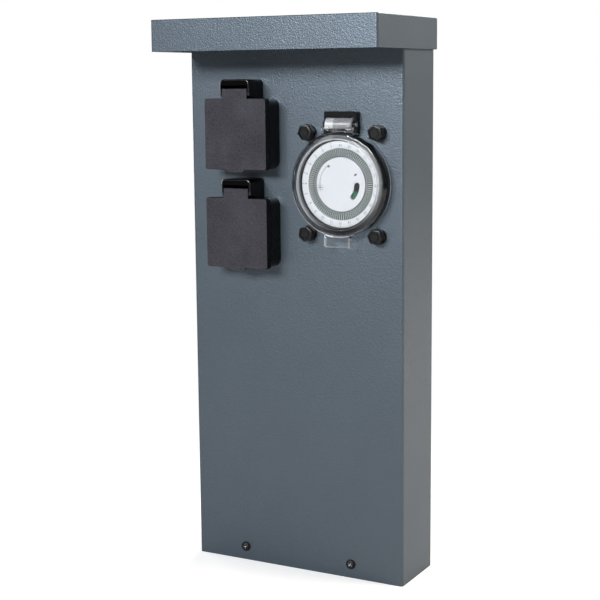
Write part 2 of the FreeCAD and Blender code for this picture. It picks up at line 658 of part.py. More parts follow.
def make_top_bracket():
    body = new_body("top_bracket")
    half = "(column_width / 2 - gauge)"
    low = "%s - bracket_flange" % HOOD_INSIDE
    profile = new_sketch(body, "front", "-bracket_depth / 2")
    outline(profile, [
        ("-" + half, low),
        ("-%s + gauge" % half, low),
        ("-%s + gauge" % half, "%s - gauge" % HOOD_INSIDE, "bend_outer - gauge"),
        ("%s - gauge" % half, "%s - gauge" % HOOD_INSIDE, "bend_outer - gauge"),
        ("%s - gauge" % half, low),
        (half, low),
        (half, HOOD_INSIDE, "bend_outer"),
        ("-" + half, HOOD_INSIDE, "bend_outer"),
    ])
    pad(body, profile, "bracket_depth")
    holes = new_sketch(body, "top", HOOD_INSIDE)
    circle(holes, "stud_pitch / 2", "0", "stud_radius + screw_hole_gap")
    circle(holes, "-stud_pitch / 2", "0", "stud_radius + screw_hole_gap")
    cut(body, holes, "gauge + cut_spare")


# Base plate. A folded tray in the foot, anchored to the ground. The column is screwed to
# its upstands, and the cord clamp and the terminal block stand on it.

def make_base_plate():
    body = new_body("base_plate")
    front = "-(column_depth / 2 - gauge)"
    rear = "(column_depth / 2 - 2 * gauge)"
    inner = "base_bend - base_gauge"
    profile = new_sketch(body, "side", "-" + INNER_HALF)
    outline(profile, [
        (front, "base_upstand"),
        (front, "0", "base_bend"),
        (rear, "0", "base_bend"),
        (rear, "base_upstand"),
        ("%s - base_gauge" % rear, "base_upstand"),
        ("%s - base_gauge" % rear, "base_gauge", inner),
        ("%s + base_gauge" % front, "base_gauge", inner),
        ("%s + base_gauge" % front, "base_upstand"),
    ])
    pad(body, profile, "2 * %s" % INNER_HALF)

    floor = new_sketch(body, "top", "base_gauge")
    for x in ("", "-"):
        for y in ("", "-"):
            circle(floor, "%sanchor_pitch_x / 2" % x, "%sanchor_pitch_y / 2" % y, "anchor_radius")
    for sign in ("+", "-"):
        circle(floor, "grommet_x %s clamp_screw_pitch / 2" % sign, "0", "small_screw_radius + thread_gap")
        circle(floor, "block_x %s block_pitch / 2" % sign, "0", "small_screw_radius + thread_gap")
    cut(body, floor, "base_gauge + cut_spare")

    front_holes = new_sketch(body, "front", "column_depth / 2 - gauge + cut_spare")
    circle(front_holes, "base_screw_x", "base_screw_z", SCREW_HOLE)
    circle(front_holes, "-base_screw_x", "base_screw_z", SCREW_HOLE)
    cut(body, front_holes, "base_gauge + 2 * cut_spare")
    rear_holes = new_sketch(body, "front", "-%s + base_gauge + cut_spare" % rear)
    circle(rear_holes, "back_screw_x", "base_screw_z", SCREW_HOLE)
    circle(rear_holes, "-back_screw_x", "base_screw_z", SCREW_HOLE)
    cut(body, rear_holes, "base_gauge + 2 * cut_spare")


def pan_screw(x, z, outside, grip, way):
    """A pan head screw on a face at Y = outside, pointing along way, with its clinch nut."""
    radius = number("screw_radius")
    length = grip + number("clinch_nut_height + screw_spare")
    shank = Part.makeCylinder(radius, length, Vector(x, outside, z), Vector(0, way, 0))
    head = Part.makeCylinder(number("screw_head_radius"), number("screw_head_height"),
                             Vector(x, outside, z), Vector(0, -way, 0))
    rim = [edge for edge in head.Edges if abs(edge.BoundBox.YMin - outside) > 1e-4
           and abs(edge.BoundBox.YLength) < 1e-6]
    head = head.makeFillet(number("screw_head_height") * 0.45, rim)
    start = outside + way * grip
    nut = Part.makeCylinder(number("clinch_nut_radius"), number("clinch_nut_height"),
                            Vector(x, start, z), Vector(0, way, 0))
    bore = Part.makeCylinder(number("screw_radius + thread_gap"), number("clinch_nut_height"),
                             Vector(x, start, z), Vector(0, way, 0))
    return shank.fuse(head), nut.cut(bore)


def make_housing_screws():
    front = number("-column_depth / 2")
    back = -front
    height = number("base_screw_z")
    pairs = [pan_screw(side * number("base_screw_x"), height, front,
                       number("gauge + base_gauge"), 1) for side in (-1, 1)]
    new_group("base_screws", [pair[0] for pair in pairs])
    new_group("base_nuts", [pair[1] for pair in pairs])
    pairs = []
    for side in (-1, 1):
        x = side * number("back_screw_x")
        pairs.append(pan_screw(x, height, back, number("2 * gauge + base_gauge"), -1))
        for level in ("back_screw_middle", "back_screw_top"):
            pairs.append(pan_screw(x, number(level), back, number("2 * gauge"), -1))
    new_group("back_screws", [pair[0] for pair in pairs])
    new_group("back_nuts", [pair[1] for pair in pairs])


# Cable inlet. A turned rubber grommet in the back panel, and the clamp bar behind it.

def make_cable_grommet():
    body = new_body("cable_grommet", "grommet_x", "0", "grommet_z")
    panel = "(column_depth / 2 - gauge)"
    profile = new_sketch(body, "side")
    outline(profile, [
        ("%s + grommet_lip" % panel, "cable_radius"),
        ("%s + grommet_lip" % panel, "grommet_flange"),
        (panel, "grommet_flange"),
        (panel, "grommet_neck"),
        ("%s - gauge" % panel, "grommet_neck"),
        ("%s - gauge" % panel, "grommet_flange"),
        ("%s - gauge - grommet_lip" % panel, "grommet_flange"),
        ("%s - gauge - grommet_lip" % panel, "cable_radius"),
    ])
    revolve(body, profile, "H_Axis")


def make_cord_clamp():
    body = new_body("cord_clamp", "grommet_x", "0", "base_gauge")
    block = new_sketch(body, "front", "-clamp_depth / 2")
    rectangle(block, "-clamp_width / 2", "0", "clamp_width / 2", "clamp_height")
    pad(body, block, "clamp_depth")
    arch = new_sketch(body, "front", "clamp_depth / 2")
    circle(arch, "0", "0", "cable_radius")
    cut(body, arch, "clamp_depth")
    holes = new_sketch(body, "top", "clamp_height")
    for sign in ("", "-"):
        circle(holes, "%sclamp_screw_pitch / 2" % sign, "0", "small_screw_radius + screw_hole_gap")
    cut(body, holes, "clamp_height")
    screws = []
    for side in (-1, 1):
        x = number("grommet_x") + side * number("clamp_screw_pitch / 2")
        top = number("base_gauge + clamp_height")
        shank = Part.makeCylinder(number("small_screw_radius"), top, Vector(x, 0, 0))
        head = Part.makeCylinder(number("small_head_radius"), number("small_head_height"), Vector(x, 0, top))
        screws.append(shank.fuse(head))
    new_group("cord_clamp_screws", screws)


# Terminal block. Three poles, each with a wire hole through it and two clamping screws.

def make_terminal_block():
    body = new_body("terminal_block", "block_x", "0", "base_gauge")
    block = new_sketch(body, "front", "-block_depth / 2")
    rectangle(block, "-block_width / 2", "0", "block_width / 2", "block_height", "bend_outer / 2")
    pad(body, block, "block_depth")
    level = "(block_height - block_well_depth)"
    poles = new_sketch(body, "front", "block_depth / 2")
    for pole in (-1, 0, 1):
        circle(poles, "%d * block_pitch" % pole, level, "block_wire_radius")
    cut(body, poles, "block_depth")
    wells = new_sketch(body, "top", "block_height")
    for pole in (-1, 0, 1):
        for side in ("", "-"):
            circle(wells, "%d * block_pitch" % pole, "%sblock_depth / 4" % side, "block_well_radius")
    cut(body, wells, "block_well_depth")
    fixing = new_sketch(body, "top", "block_height")
    for side in ("", "-"):
        circle(fixing, "%sblock_pitch / 2" % side, "0", "small_screw_radius + screw_hole_gap")
    cut(body, fixing, "block_height")
    screws = []
    floor = number("base_gauge + block_height - block_well_depth + block_wire_radius")
    top = number("base_gauge + block_height")
    for pole in (-1, 0, 1):
        x = number("block_x") + pole * number("block_pitch")
        for side in (-1, 1):
            spot = Vector(x, side * number("block_depth / 4"), floor)
            screws.append(Part.makeCylinder(number("block_well_radius - screw_hole_gap"),
                                            number("small_head_radius"), spot))
    for side in (-1, 1):
        x = number("block_x") + side * number("block_pitch / 2")
        shank = Part.makeCylinder(number("small_screw_radius"), top, Vector(x, 0, 0))
        head = Part.makeCylinder(number("small_head_radius"), number("small_head_height"), Vector(x, 0, top))
        screws.append(shank.fuse(head))
    new_group("terminal_screws", screws)


# Sockets. Each piece has its origin on the column's face at the middle of its socket.

SOCKETS = (("upper", UPPER_Z), ("lower", LOWER_Z))
HOUSING_SHAPE = [
    ("-socket_face / 2", "-socket_face / 2", "socket_corner"),
    ("socket_face / 2", "-socket_face / 2", "socket_corner"),
    ("socket_face / 2", "socket_face / 2", "socket_corner"),
    ("housing_width / 2", "socket_face / 2"),
    ("housing_width / 2", "housing_top", "housing_corner"),
    ("-housing_width / 2", "housing_top", "housing_corner"),
    ("-housing_width / 2", "socket_face / 2"),
    ("-socket_face / 2", "socket_face / 2", "socket_corner"),
]


def screw_circles(sketch, radius):
    """The two corner screws of a socket."""
    for sign in ("", "-"):
        circle(sketch, "%ssocket_screw_offset" % sign, "%ssocket_screw_offset" % sign, radius)


def make_socket_body(label, height):
    body = new_body(label, "socket_x", FACE_Y, height)
    flange = new_sketch(body, "front", "socket_gasket")
    outline(flange, [corner[:2] if "housing_corner" in corner else corner for corner in HOUSING_SHAPE])
    pad(body, flange, "flange_front - socket_gasket")
    bridge = new_sketch(body, "side", "-housing_width / 2")
    reach = "(lid_front - hinge_depth)"
    outline(bridge, [
        ("-flange_front", "hinge_rise - %s" % reach),
        ("-lid_front", "hinge_rise - %s" % reach, reach),
        ("-lid_front", "housing_top"),
        ("-flange_front", "housing_top"),
    ])
    housing = pad(body, bridge, "housing_width")
    front = -number("lid_front")
    top = number("housing_top")
    side = number("housing_width / 2")
    corners = fillet(body, housing, lambda point: abs(point.z - top) < 1e-4
                     and abs(abs(point.x) - side) < 1e-4, "housing_corner")
    fillet(body, corners, lambda point: abs(point.y - front) < 1e-4, "housing_edge")

    barrel = new_sketch(body, "front", "socket_gasket")
    circle(barrel, "0", "0", "barrel_radius")
    pad(body, barrel, "socket_gasket + barrel_rear", back=True)
    recess = new_sketch(body, "front", "flange_front")
    circle(recess, "0", "0", "recess_radius")
    cut(body, recess, "recess_depth + insert_depth")
    rear = new_sketch(body, "front", "flange_front - recess_depth - insert_depth")
    circle(rear, "0", "0", "seat_radius")
    cut(body, rear, "barrel_rear + flange_front - recess_depth - insert_depth + cut_spare")

    cavity = new_sketch(body, "side", "tongue_width / 2 + tongue_side_gap")
    circle(cavity, "-hinge_depth", "hinge_rise", "knuckle_room")
    cut(body, cavity, "tongue_width + 2 * tongue_side_gap")
    window = new_sketch(body, "side", "tongue_width / 2 + tongue_side_gap")
    rectangle(window, "-lid_front - cut_spare", "hinge_rise", "-hinge_depth", "hinge_rise + knuckle_window")
    cut(body, window, "tongue_width + 2 * tongue_side_gap")
    pin = new_sketch(body, "side", "housing_width / 2 - pin_wall")
    circle(pin, "-hinge_depth", "hinge_rise", "lid_pin_radius + fixed_gap")
    cut(body, pin, "housing_width")

    screws = new_sketch(body, "front", "flange_front")
    screw_circles(screws, "socket_screw_radius + screw_hole_gap")
    cut(body, screws, "flange_front")
    heads = new_sketch(body, "front", "flange_front")
    screw_circles(heads, "socket_head_radius + screw_hole_gap")
    cut(body, heads, "socket_head_height + socket_head_sink")


def make_socket_gasket(label, height):
    body = new_body(label, "socket_x", FACE_Y, height)
    sheet = new_sketch(body, "front")
    outline(sheet, HOUSING_SHAPE)
    circle(sheet, "0", "0", "barrel_radius + barrel_gap")
    screw_circles(sheet, "socket_screw_radius + screw_hole_gap")
    pad(body, sheet, "socket_gasket")


def make_contact_insert(label, height):
    body = new_body(label, "socket_x", FACE_Y, height)
    front = "(flange_front - recess_depth)"
    disc = new_sketch(body, "front", front)
    circle(disc, "0", "0", "recess_radius - insert_gap")
    pad(body, disc, "insert_depth", back=True)
    ribs = new_sketch(body, "front", front)
    for sign, left, right in (("", "rib_inner", "rib_outer"), ("-", "rib_outer", "rib_inner")):
        rectangle(ribs, sign + left, "-rib_width / 2", sign + right, "rib_width / 2")
    pad(body, ribs, "rib_length")
    entries = new_sketch(body, "front", front)
    sleeves = new_sketch(body, "front", "%s - entry_depth" % front)
    for sign in ("", "-"):
        circle(entries, "%scontact_pitch / 2" % sign, "0", "entry_radius")
        circle(sleeves, "%scontact_pitch / 2" % sign, "0", "sleeve_radius + sleeve_gap")
    cut(body, entries, "insert_depth")
    cut(body, sleeves, "insert_depth")
    middle = new_sketch(body, "front", front)
    circle(middle, "0", "0", "small_screw_radius + screw_hole_gap")
    cut(body, middle, "insert_depth")
    head = new_sketch(body, "front", front)
    circle(head, "0", "0", "small_head_radius + screw_hole_gap")
    cut(body, head, "small_head_height")
    slots = new_sketch(body, "front", front)
    half = "(clip_width / 2 + clip_slot_gap)"
    for sign in (1, -1):
        low, high = ("clip_reach - clip_bulge - clip_gauge", "recess_radius + cut_spare")[::sign]
        rectangle(slots, "-" + half, "%d * (%s)" % (sign, low), half, "%d * (%s)" % (sign, high))
    cut(body, slots, "insert_depth")
    channel = new_sketch(body, "front", "%s - insert_depth" % front)
    rectangle(channel, "-" + half, "-recess_radius", half, "recess_radius")
    cut(body, channel, "clip_gauge + clip_slot_gap", forward=True)


def make_earth_clip(label, height):
    """A sprung strip across the back of the insert, with two arms bent in towards the plug."""
    body = new_body(label, "socket_x", FACE_Y, height)
    profile = new_sketch(body, "side", "-clip_width / 2")
    rear = "(-flange_front + recess_depth + insert_depth)"
    floor = "(-flange_front + recess_depth)"
    bend = "(-clip_front + (clip_front - flange_front + recess_depth) * 0.3)"
    arm = [
        ("%s - clip_gauge" % rear, "clip_reach - clip_gauge"),
        ("%s - clip_gauge" % floor, "clip_reach - clip_gauge"),
        (bend, "clip_reach - clip_bulge - clip_gauge"),
        ("-clip_front", "clip_reach - clip_gauge"),
        ("-clip_front", "clip_reach"),
        (bend, "clip_reach - clip_bulge"),
        ("%s - clip_gauge" % floor, "clip_reach"),
        (rear, "clip_reach"),
    ]
    mirrored = [(x, "-(%s)" % z) for x, z in reversed(arm)]
    outline(profile, arm + mirrored)
    pad(body, profile, "clip_width")
    hole = new_sketch(body, "front", "flange_front - recess_depth - insert_depth + clip_gauge")
    circle(hole, "0", "0", "small_screw_radius + screw_hole_gap")
    cut(body, hole, "clip_gauge + cut_spare")


def make_contacts():
    """Brass sleeves with square terminal lugs, and the screw in the middle of each insert."""
    front = number("flange_front - recess_depth")
    face = number("column_depth / 2")
    size = number("lug_size")
    for name, height in SOCKETS:
        z = number(height)
        sleeves = []
        for side in (-1, 1):
            x = number("socket_x") + side * number("contact_pitch / 2")
            rear = face + front - number("insert_depth")
            start = face + front - number("entry_depth")
            sleeve = turned_y(number("sleeve_radius"), rear, start, x, z)
            lug = Part.makeBox(size, number("lug_depth"), size,
                               Vector(x - size / 2, -rear, z - size / 2))
            bore = turned_y(number("sleeve_bore"), rear - number("lug_depth / 2"), start, x, z)
            sleeves.append(sleeve.fuse(lug).cut(bore))
        new_group(name + "_contact_sleeves", sleeves)
    screws = []
    for name, height in SOCKETS:
        z = number(height)
        x = number("socket_x")
        top = face + front
        head = turned_y(number("small_head_radius"), top - number("small_head_height"), top, x, z)
        shank = turned_y(number("small_screw_radius"), top - number("insert_depth"), top, x, z)
        screws.append(head.fuse(shank))
    new_group("insert_screws", screws)


def make_socket_fixings():
    """Corner screws through flange, gasket and column, and their nuts behind the sheet."""
    face = number("column_depth / 2")
    sink = face + number("flange_front - socket_head_sink")
    nut_front = face - number("gauge")
    nut_rear = nut_front - number("socket_nut_height")
    screws = []
    nuts = []
    for name, height in SOCKETS:
        for side in (-1, 1):
            x = number("socket_x") + side * number("socket_screw_offset")
            z = number(height) + side * number("socket_screw_offset")
            head = turned_y(number("socket_head_radius"), sink - number("socket_head_height"), sink, x, z)
            shank = turned_y(number("socket_screw_radius"), nut_rear - number("screw_spare"), sink, x, z)
            screws.append(head.fuse(shank))
            nuts.append(hexagon_y(number("socket_nut_flats"), nut_rear, nut_front, x, z,
                                  number("socket_screw_radius + thread_gap")))
    new_group("socket_screws", screws)
    new_group("socket_nuts", nuts)


def make_lid(label, height):
    body = new_body(label, "socket_x", FACE_Y, height)
    rear = "(flange_front + lid_gap)"
    half = "socket_face / 2"
    face = new_sketch(body, "front", rear)
    rectangle(face, "-" + half, "-" + half, half, half, "lid_corner")
    cap = pad(body, face, "lid_front - %s" % rear)
    front = -number("lid_front")
    fillet(body, cap, lambda point: abs(point.y - front) < 1e-4, "lid_edge")
    inside = new_sketch(body, "front", rear)
    rectangle(inside, "-%s + lid_wall" % half, "-%s + lid_wall" % half,
              "%s - lid_wall" % half, "%s - lid_wall" % half)
    cut(body, inside, "lid_front - lid_face - %s" % rear, forward=True)

    tongue = new_sketch(body, "side", "-tongue_width / 2")
    outline(tongue, [
        ("-hinge_depth", "%s - lid_wall" % half),
        ("-lid_front", "%s - lid_wall" % half),
        ("-lid_front", "hinge_rise + knuckle_radius", "tongue_corner"),
        ("-hinge_depth", "hinge_rise + knuckle_radius"),
    ])
    pad(body, tongue, "tongue_width")
    knuckle = new_sketch(body, "side", "-tongue_width / 2")
    circle(knuckle, "-hinge_depth", "hinge_rise", "knuckle_radius")
    pad(body, knuckle, "tongue_width")
    room = new_sketch(body, "side", "spring_room / 2")
    reach = "(spring_radius + spring_wire / 2 + spring_gap)"
    outline(room, [
        ("-hinge_depth - %s" % reach, "hinge_rise - %s" % reach, "spring_radius"),
        ("-hinge_depth + knuckle_radius + cut_spare", "hinge_rise - %s" % reach),
        ("-hinge_depth + knuckle_radius + cut_spare", "hinge_rise + knuckle_radius + cut_spare"),
        ("-hinge_depth - %s" % reach, "hinge_rise + knuckle_radius + cut_spare"),
    ])
    cut(body, room, "spring_room")
    bore = new_sketch(body, "side", "tongue_width / 2")
    circle(bore, "-hinge_depth", "hinge_rise", "lid_pin_radius + running_gap")
    cut(body, bore, "tongue_width")
    finger = new_sketch(body, "front", "lid_front - finger_gauge")
    outline(finger, [
        ("-finger_bottom / 2", "-%s - finger_drop" % half),
        ("finger_bottom / 2", "-%s - finger_drop" % half),
        ("finger_top / 2", "-%s + lid_wall / 2" % half),
        ("-finger_top / 2", "-%s + lid_wall / 2" % half),
    ])
    pad(body, finger, "finger_gauge")


def make_lid_seal(label, height):
    body = new_body(label, "socket_x", FACE_Y, height)
    ring = new_sketch(body, "front", "flange_front + lid_gap")
    circle(ring, "0", "0", "seal_outer")
    circle(ring, "0", "0", "seal_inner")
    pad(body, ring, "lid_front - lid_face - flange_front - lid_gap")


def make_lid_pin(label, height):
    body = new_body(label, "socket_x", FACE_Y, height)
    pin = new_sketch(body, "side", "-housing_width / 2 + fixed_gap")
    circle(pin, "-hinge_depth", "hinge_rise", "lid_pin_radius")
    pad(body, pin, "housing_width - pin_wall - 2 * fixed_gap")


def make_lid_spring(label, height):
    """A torsion spring: round wire wound on the pin, one tube from end to end."""
    turns = number("spring_turns")
    length = number("spring_length")
    radius = number("spring_radius")
    wire = number("spring_wire / 2")
    helix = Part.makeHelix(length / turns, length, radius)
    start = helix.Edges[0].valueAt(helix.Edges[0].FirstParameter)
    way = helix.Edges[0].tangentAt(helix.Edges[0].FirstParameter)
    ring = Part.Wire(Part.makeCircle(wire, start, way))
    spring = Part.Wire(helix.Edges).makePipeShell([ring], True, True)
    spring.translate(Vector(0, 0, -length / 2))
    spring.rotate(Vector(0, 0, 0), Vector(0, 1, 0), 90)
    spring.translate(Vector(number("socket_x"), number("-column_depth / 2 - hinge_depth"),
                            number(height + " + hinge_rise")))
    new_group(label, [spring])


# Timer. Each piece has its origin on the column's face at the dial's axis.

def timer_body(label):
    return new_body(label, "timer_x", FACE_Y, "timer_z")


def bolt_circles(sketch):
    """The four bolts of the timer's flange."""
    for x in ("", "-"):
        for z in ("", "-"):
            circle(sketch, "%sbolt_pitch_x / 2" % x, "%sbolt_pitch_z / 2" % z, "bolt_hole_radius")


def flange_outline(sketch):
    """The timer's bolting flange."""
    rectangle(sketch, "-flange_width / 2", "-flange_height / 2", "flange_width / 2",
              "flange_height / 2", "flange_corner")


def make_timer_case():
    body = timer_body("timer_case")
    seat = "(-gauge - timer_gasket)"
    flange = new_sketch(body, "front", seat)
    flange_outline(flange)
    pad(body, flange, "flange_gauge", back=True)
    case = new_sketch(body, "front", seat)
    circle(case, "0", "0", "case_radius")
    pad(body, case, "case_rear + %s" % seat, back=True)
    neck = new_sketch(body, "front", "%s - flange_gauge" % seat)
    circle(neck, "0", "0", "collar_radius")
    collar = pad(body, neck, "collar_front + flange_gauge - %s" % seat)
    front = -number("collar_front")
    fillet(body, collar, lambda point: abs(point.y - front) < 1e-4, "collar_edge")
    dial_room = new_sketch(body, "front", "collar_front")
    circle(dial_room, "0", "0", "collar_inner")
    cut(body, dial_room, "collar_front - hub_rear + cut_spare")
    gear_room = new_sketch(body, "front", "collar_front")
    circle(gear_room, "0", "0", "case_inner")
    cut(body, gear_room, "collar_front + bridge_seat")
    motor_room = new_sketch(body, "front", "collar_front")
    circle(motor_room, "0", "0", "case_seat")
    cut(body, motor_room, "collar_front + case_rear - case_floor")
    holes = new_sketch(body, "front", seat)
    bolt_circles(holes)
    cut(body, holes, "flange_gauge")


def make_timer_bezel():
    """A ring pushed on the collar before the column. It hides the edge of the cut-out."""
    body = timer_body("timer_bezel")
    inner = "collar_radius + bezel_gap"
    profile = new_sketch(body, "side")
    outline(profile, [
        ("0", inner),
        ("-collar_front", inner, "bezel_edge"),
        ("-collar_front", "%s + bezel_width" % inner, "bezel_edge"),
        ("0", "%s + bezel_width" % inner),
    ])
    revolve(body, profile, "H_Axis")


def make_timer_gasket():
    body = timer_body("timer_gasket")
    sheet = new_sketch(body, "front", "-gauge")
    flange_outline(sheet)
    circle(sheet, "0", "0", "collar_radius + collar_gap")
    bolt_circles(sheet)
    pad(body, sheet, "timer_gasket", back=True)


def make_timer_bridge():
    body = timer_body("timer_bridge")
    plate = new_sketch(body, "front", "-bridge_seat")
    circle(plate, "0", "0", "bridge_radius")
    pad(body, plate, "bridge_gauge")
    spindle = new_sketch(body, "front", "-bridge_seat")
    circle(spindle, "0", "0", "spindle_radius")
    pad(body, spindle, "bridge_seat + plate_rear")
    hole = new_sketch(body, "front", "-bridge_seat + bridge_gauge")
    circle(hole, "-" + PINION_OFFSET, "-" + PINION_OFFSET, "pinion_shaft + screw_hole_gap")
    cut(body, hole, "bridge_gauge")


def make_timer_motor():
    body = timer_body("timer_motor")
    can = new_sketch(body, "front", "-bridge_seat")
    circle(can, "-motor_offset", "-motor_offset", "motor_radius")
    pad(body, can, "motor_depth", back=True)
    bore = new_sketch(body, "front", "-bridge_seat")
    circle(bore, "-" + PINION_OFFSET, "-" + PINION_OFFSET, "pinion_shaft + running_gap")
    cut(body, bore, "pinion_shaft_length")


def toothed_wheel(body, teeth, pitch, rear, front, centre):
    """A spur wheel: a root disc and one tooth, repeated round the axis."""
    blank = new_sketch(body, "front", rear)
    circle(blank, centre, centre, "%s - tooth_dedendum" % pitch)
    pad(body, blank, "%s - (%s)" % (front, rear))
    tooth = new_sketch(body, "front", rear)
    foot = "(%s) + %s - tooth_dedendum - tooth_tip / 2" % (centre, pitch)
    tip = "(%s) + %s + tooth_addendum" % (centre, pitch)
    outline(tooth, [
        (foot, "%s - tooth_root / 2" % centre),
        (tip, "%s - tooth_tip / 2" % centre),
        (tip, "%s + tooth_tip / 2" % centre),
        (foot, "%s + tooth_root / 2" % centre),
    ])
    first = pad(body, tooth, "%s - (%s)" % (front, rear))
    ring = body.newObject("PartDesign::PolarPattern", "teeth")
    ring.Originals = [first]
    ring.Axis = (blank, ["N_Axis"])
    ring.Angle = 360
    ring.Occurrences = int(number(teeth))
    body.Tip = ring
    doc.recompute()


def make_dial_gear():
    body = timer_body("dial_gear")
    toothed_wheel(body, "gear_teeth", GEAR_PITCH, "-gear_rear", "hub_rear", "0")
    bore = new_sketch(body, "front", "hub_rear")
    circle(bore, "0", "0", "hub_radius + fixed_gap")
    cut(body, bore, "hub_rear + gear_rear")


def make_drive_pinion():
    offset = "-" + PINION_OFFSET
    body = new_body("drive_pinion", "timer_x + %s" % offset, FACE_Y, "timer_z + %s" % offset)
    toothed_wheel(body, "pinion_teeth", PINION_PITCH, "-gear_rear", "pinion_front", "0")
    shaft = new_sketch(body, "front", "-gear_rear")
    circle(shaft, "0", "0", "pinion_shaft")
    pad(body, shaft, "pinion_shaft_length", back=True)


def make_timer_switch():
    body = timer_body("timer_switch")
    block = new_sketch(body, "front", "-bridge_seat")
    rectangle(block, "switch_x - switch_width / 2", "switch_z - switch_height / 2",
              "switch_x + switch_width / 2", "switch_z + switch_height / 2")
    pad(body, block, "switch_depth", back=True)


def make_timer_terminals():
    body = timer_body("timer_terminals")
    block = new_sketch(body, "front", "-case_rear")
    rectangle(block, "-terminals_width / 2", "-terminals_height / 2", "terminals_width / 2",
              "terminals_height / 2", "bend_outer / 2")
    pad(body, block, "terminals_depth", back=True)
    holes = new_sketch(body, "front", "-case_rear - terminals_depth")
    for pole in (-1, 0, 1):
        circle(holes, "%d * terminals_width / 4" % pole, "0", "block_well_radius")
    cut(body, holes, "terminals_depth / 2", forward=True)


# Dial. A shallow turned dish on the spindle. It carries the green ring with the tabs.

def make_dial():
    body = timer_body("dial")
    bore = "spindle_radius + running_gap"
    profile = new_sketch(body, "side")
    outline(profile, [
        ("gear_rear", bore),
        ("gear_rear", "hub_radius"),
        ("-hub_rear", "hub_radius"),
        ("-hub_rear", "dial_radius"),
        ("-dial_front", "dial_radius"),
        ("-dial_front", "ring_inner"),
        ("-disc_front", "ring_inner"),
        ("-disc_front", bore),
    ])
    revolve(body, profile, "H_Axis")


def make_tab_carrier():
    body = timer_body("tab_carrier")
    ring = new_sketch(body, "front", "disc_front")
    circle(ring, "0", "0", "ring_inner - carrier_gap")
    circle(ring, "0", "0", "carrier_inner")
    pad(body, ring, "carrier_front - disc_front")


def make_trip_tabs():
    """One stepped tab for each quarter hour."""
    half = number("tab_width / 2")
    base = -number("column_depth / 2 + carrier_front")
    face = number("column_depth / 2")
    outline_points = [
        (number("tab_inner"), base),
        (number("tab_inner"), -face - number("tab_low")),
        (number("tab_step"), -face - number("tab_low")),
        (number("tab_step"), -face - number("tab_front")),
        (number("tab_outer"), -face - number("tab_front")),
        (number("tab_outer"), base),
    ]
    corners = [Vector(reach, y, -half) for reach, y in outline_points]
    tab = Part.Face(Part.makePolygon(corners + corners[:1])).extrude(Vector(0, 0, 2 * half))
    count = int(number("tab_count"))
    shift = Vector(number("timer_x"), 0, number("timer_z"))
    tabs = []
    for step in range(count):
        copy = tab.copy()
        copy.rotate(Vector(0, 0, 0), Vector(0, 1, 0), 360 * (step + 0.5) / count)
        copy.translate(shift)
        tabs.append(copy)
    new_group("trip_tabs", tabs)


def make_centre_plate():
    body = timer_body("centre_plate")
    disc = new_sketch(body, "front", "plate_rear")
    circle(disc, "0", "0", "plate_radius")
    curved_slot(disc, "slot_radius", "slot_half", "slot_start", "slot_end")
    pad(body, disc, "plate_front - plate_rear")


def make_mode_switch():
    slide = timer_body("mode_slide")
    strip = new_sketch(slide, "front", "slide_rear")
    curved_slot(strip, "slot_radius", "slide_half", "slide_start", "slide_end")
    pad(slide, strip, "slide_front - slide_rear")
    knob = timer_body("mode_knob")
    grip = new_sketch(knob, "front", "slide_front")
    curved_slot(grip, "slot_radius", "knob_half", "knob_start", "knob_end")
    pad(knob, grip, "knob_front - slide_front")


# Clear cover. A turned dome with a raised window, a knuckle above and a finger tab below.

def make_timer_cover():
    body = timer_body("timer_cover")
    shoulder = "(cover_front - window_step)"
    slope = "(cover_front - window_step - shoulder_drop)"
    profile = new_sketch(body, "side")
    outline(profile, [
        ("-cover_front", "0"),
        ("-cover_front", "window_radius"),
        ("-" + shoulder, "window_radius"),
        ("-" + shoulder, "shoulder_radius"),
        ("-" + slope, "cover_radius"),
        ("-cover_lift", "cover_radius"),
        ("-cover_lift", "cover_radius - cover_wall"),
        ("-%s + cover_wall / 2" % slope, "cover_radius - cover_wall"),
        ("-%s + cover_window" % shoulder, "shoulder_radius - cover_wall / 2"),
        ("-%s + cover_window" % shoulder, "window_radius - cover_window"),
        ("-cover_front + cover_window", "window_radius - cover_window"),
        ("-cover_front + cover_window", "0"),
    ])
    revolve(body, profile, "H_Axis")

    knuckle = new_sketch(body, "side", "-cover_knuckle_half")
    circle(knuckle, "-cover_hinge_depth", "cover_hinge_rise", "cover_knuckle")
    pad(body, knuckle, "2 * cover_knuckle_half")
    arms = new_sketch(body, "front", "%s - neck_gauge" % shoulder)
    for sign, left, right in (("", "neck_inner", "bracket_half"), ("-", "bracket_half", "neck_inner")):
        rectangle(arms, sign + left, "neck_foot", sign + right, "cover_hinge_rise - neck_drop")
    pad(body, arms, "neck_gauge")
    grip = new_sketch(body, "front", "%s - grip_gauge" % shoulder)
    rectangle(grip, "-grip_half", "-grip_bottom", "grip_half", "-grip_root")
    pad(body, grip, "grip_gauge")
    ribs = new_sketch(body, "front", shoulder)
    for sign, left, right in (("", "grip_half - grip_gauge", "grip_half"),
                              ("-", "grip_half", "(grip_half - grip_gauge)")):
        rectangle(ribs, sign + left, "-grip_bottom + grip_rib_short", sign + right, "-grip_root")
    pad(body, ribs, "window_step")
    bore = new_sketch(body, "side", "cover_knuckle_half")
    circle(bore, "-cover_hinge_depth", "cover_hinge_rise", "cover_pin_radius + running_gap")
    cut(body, bore, "2 * cover_knuckle_half")


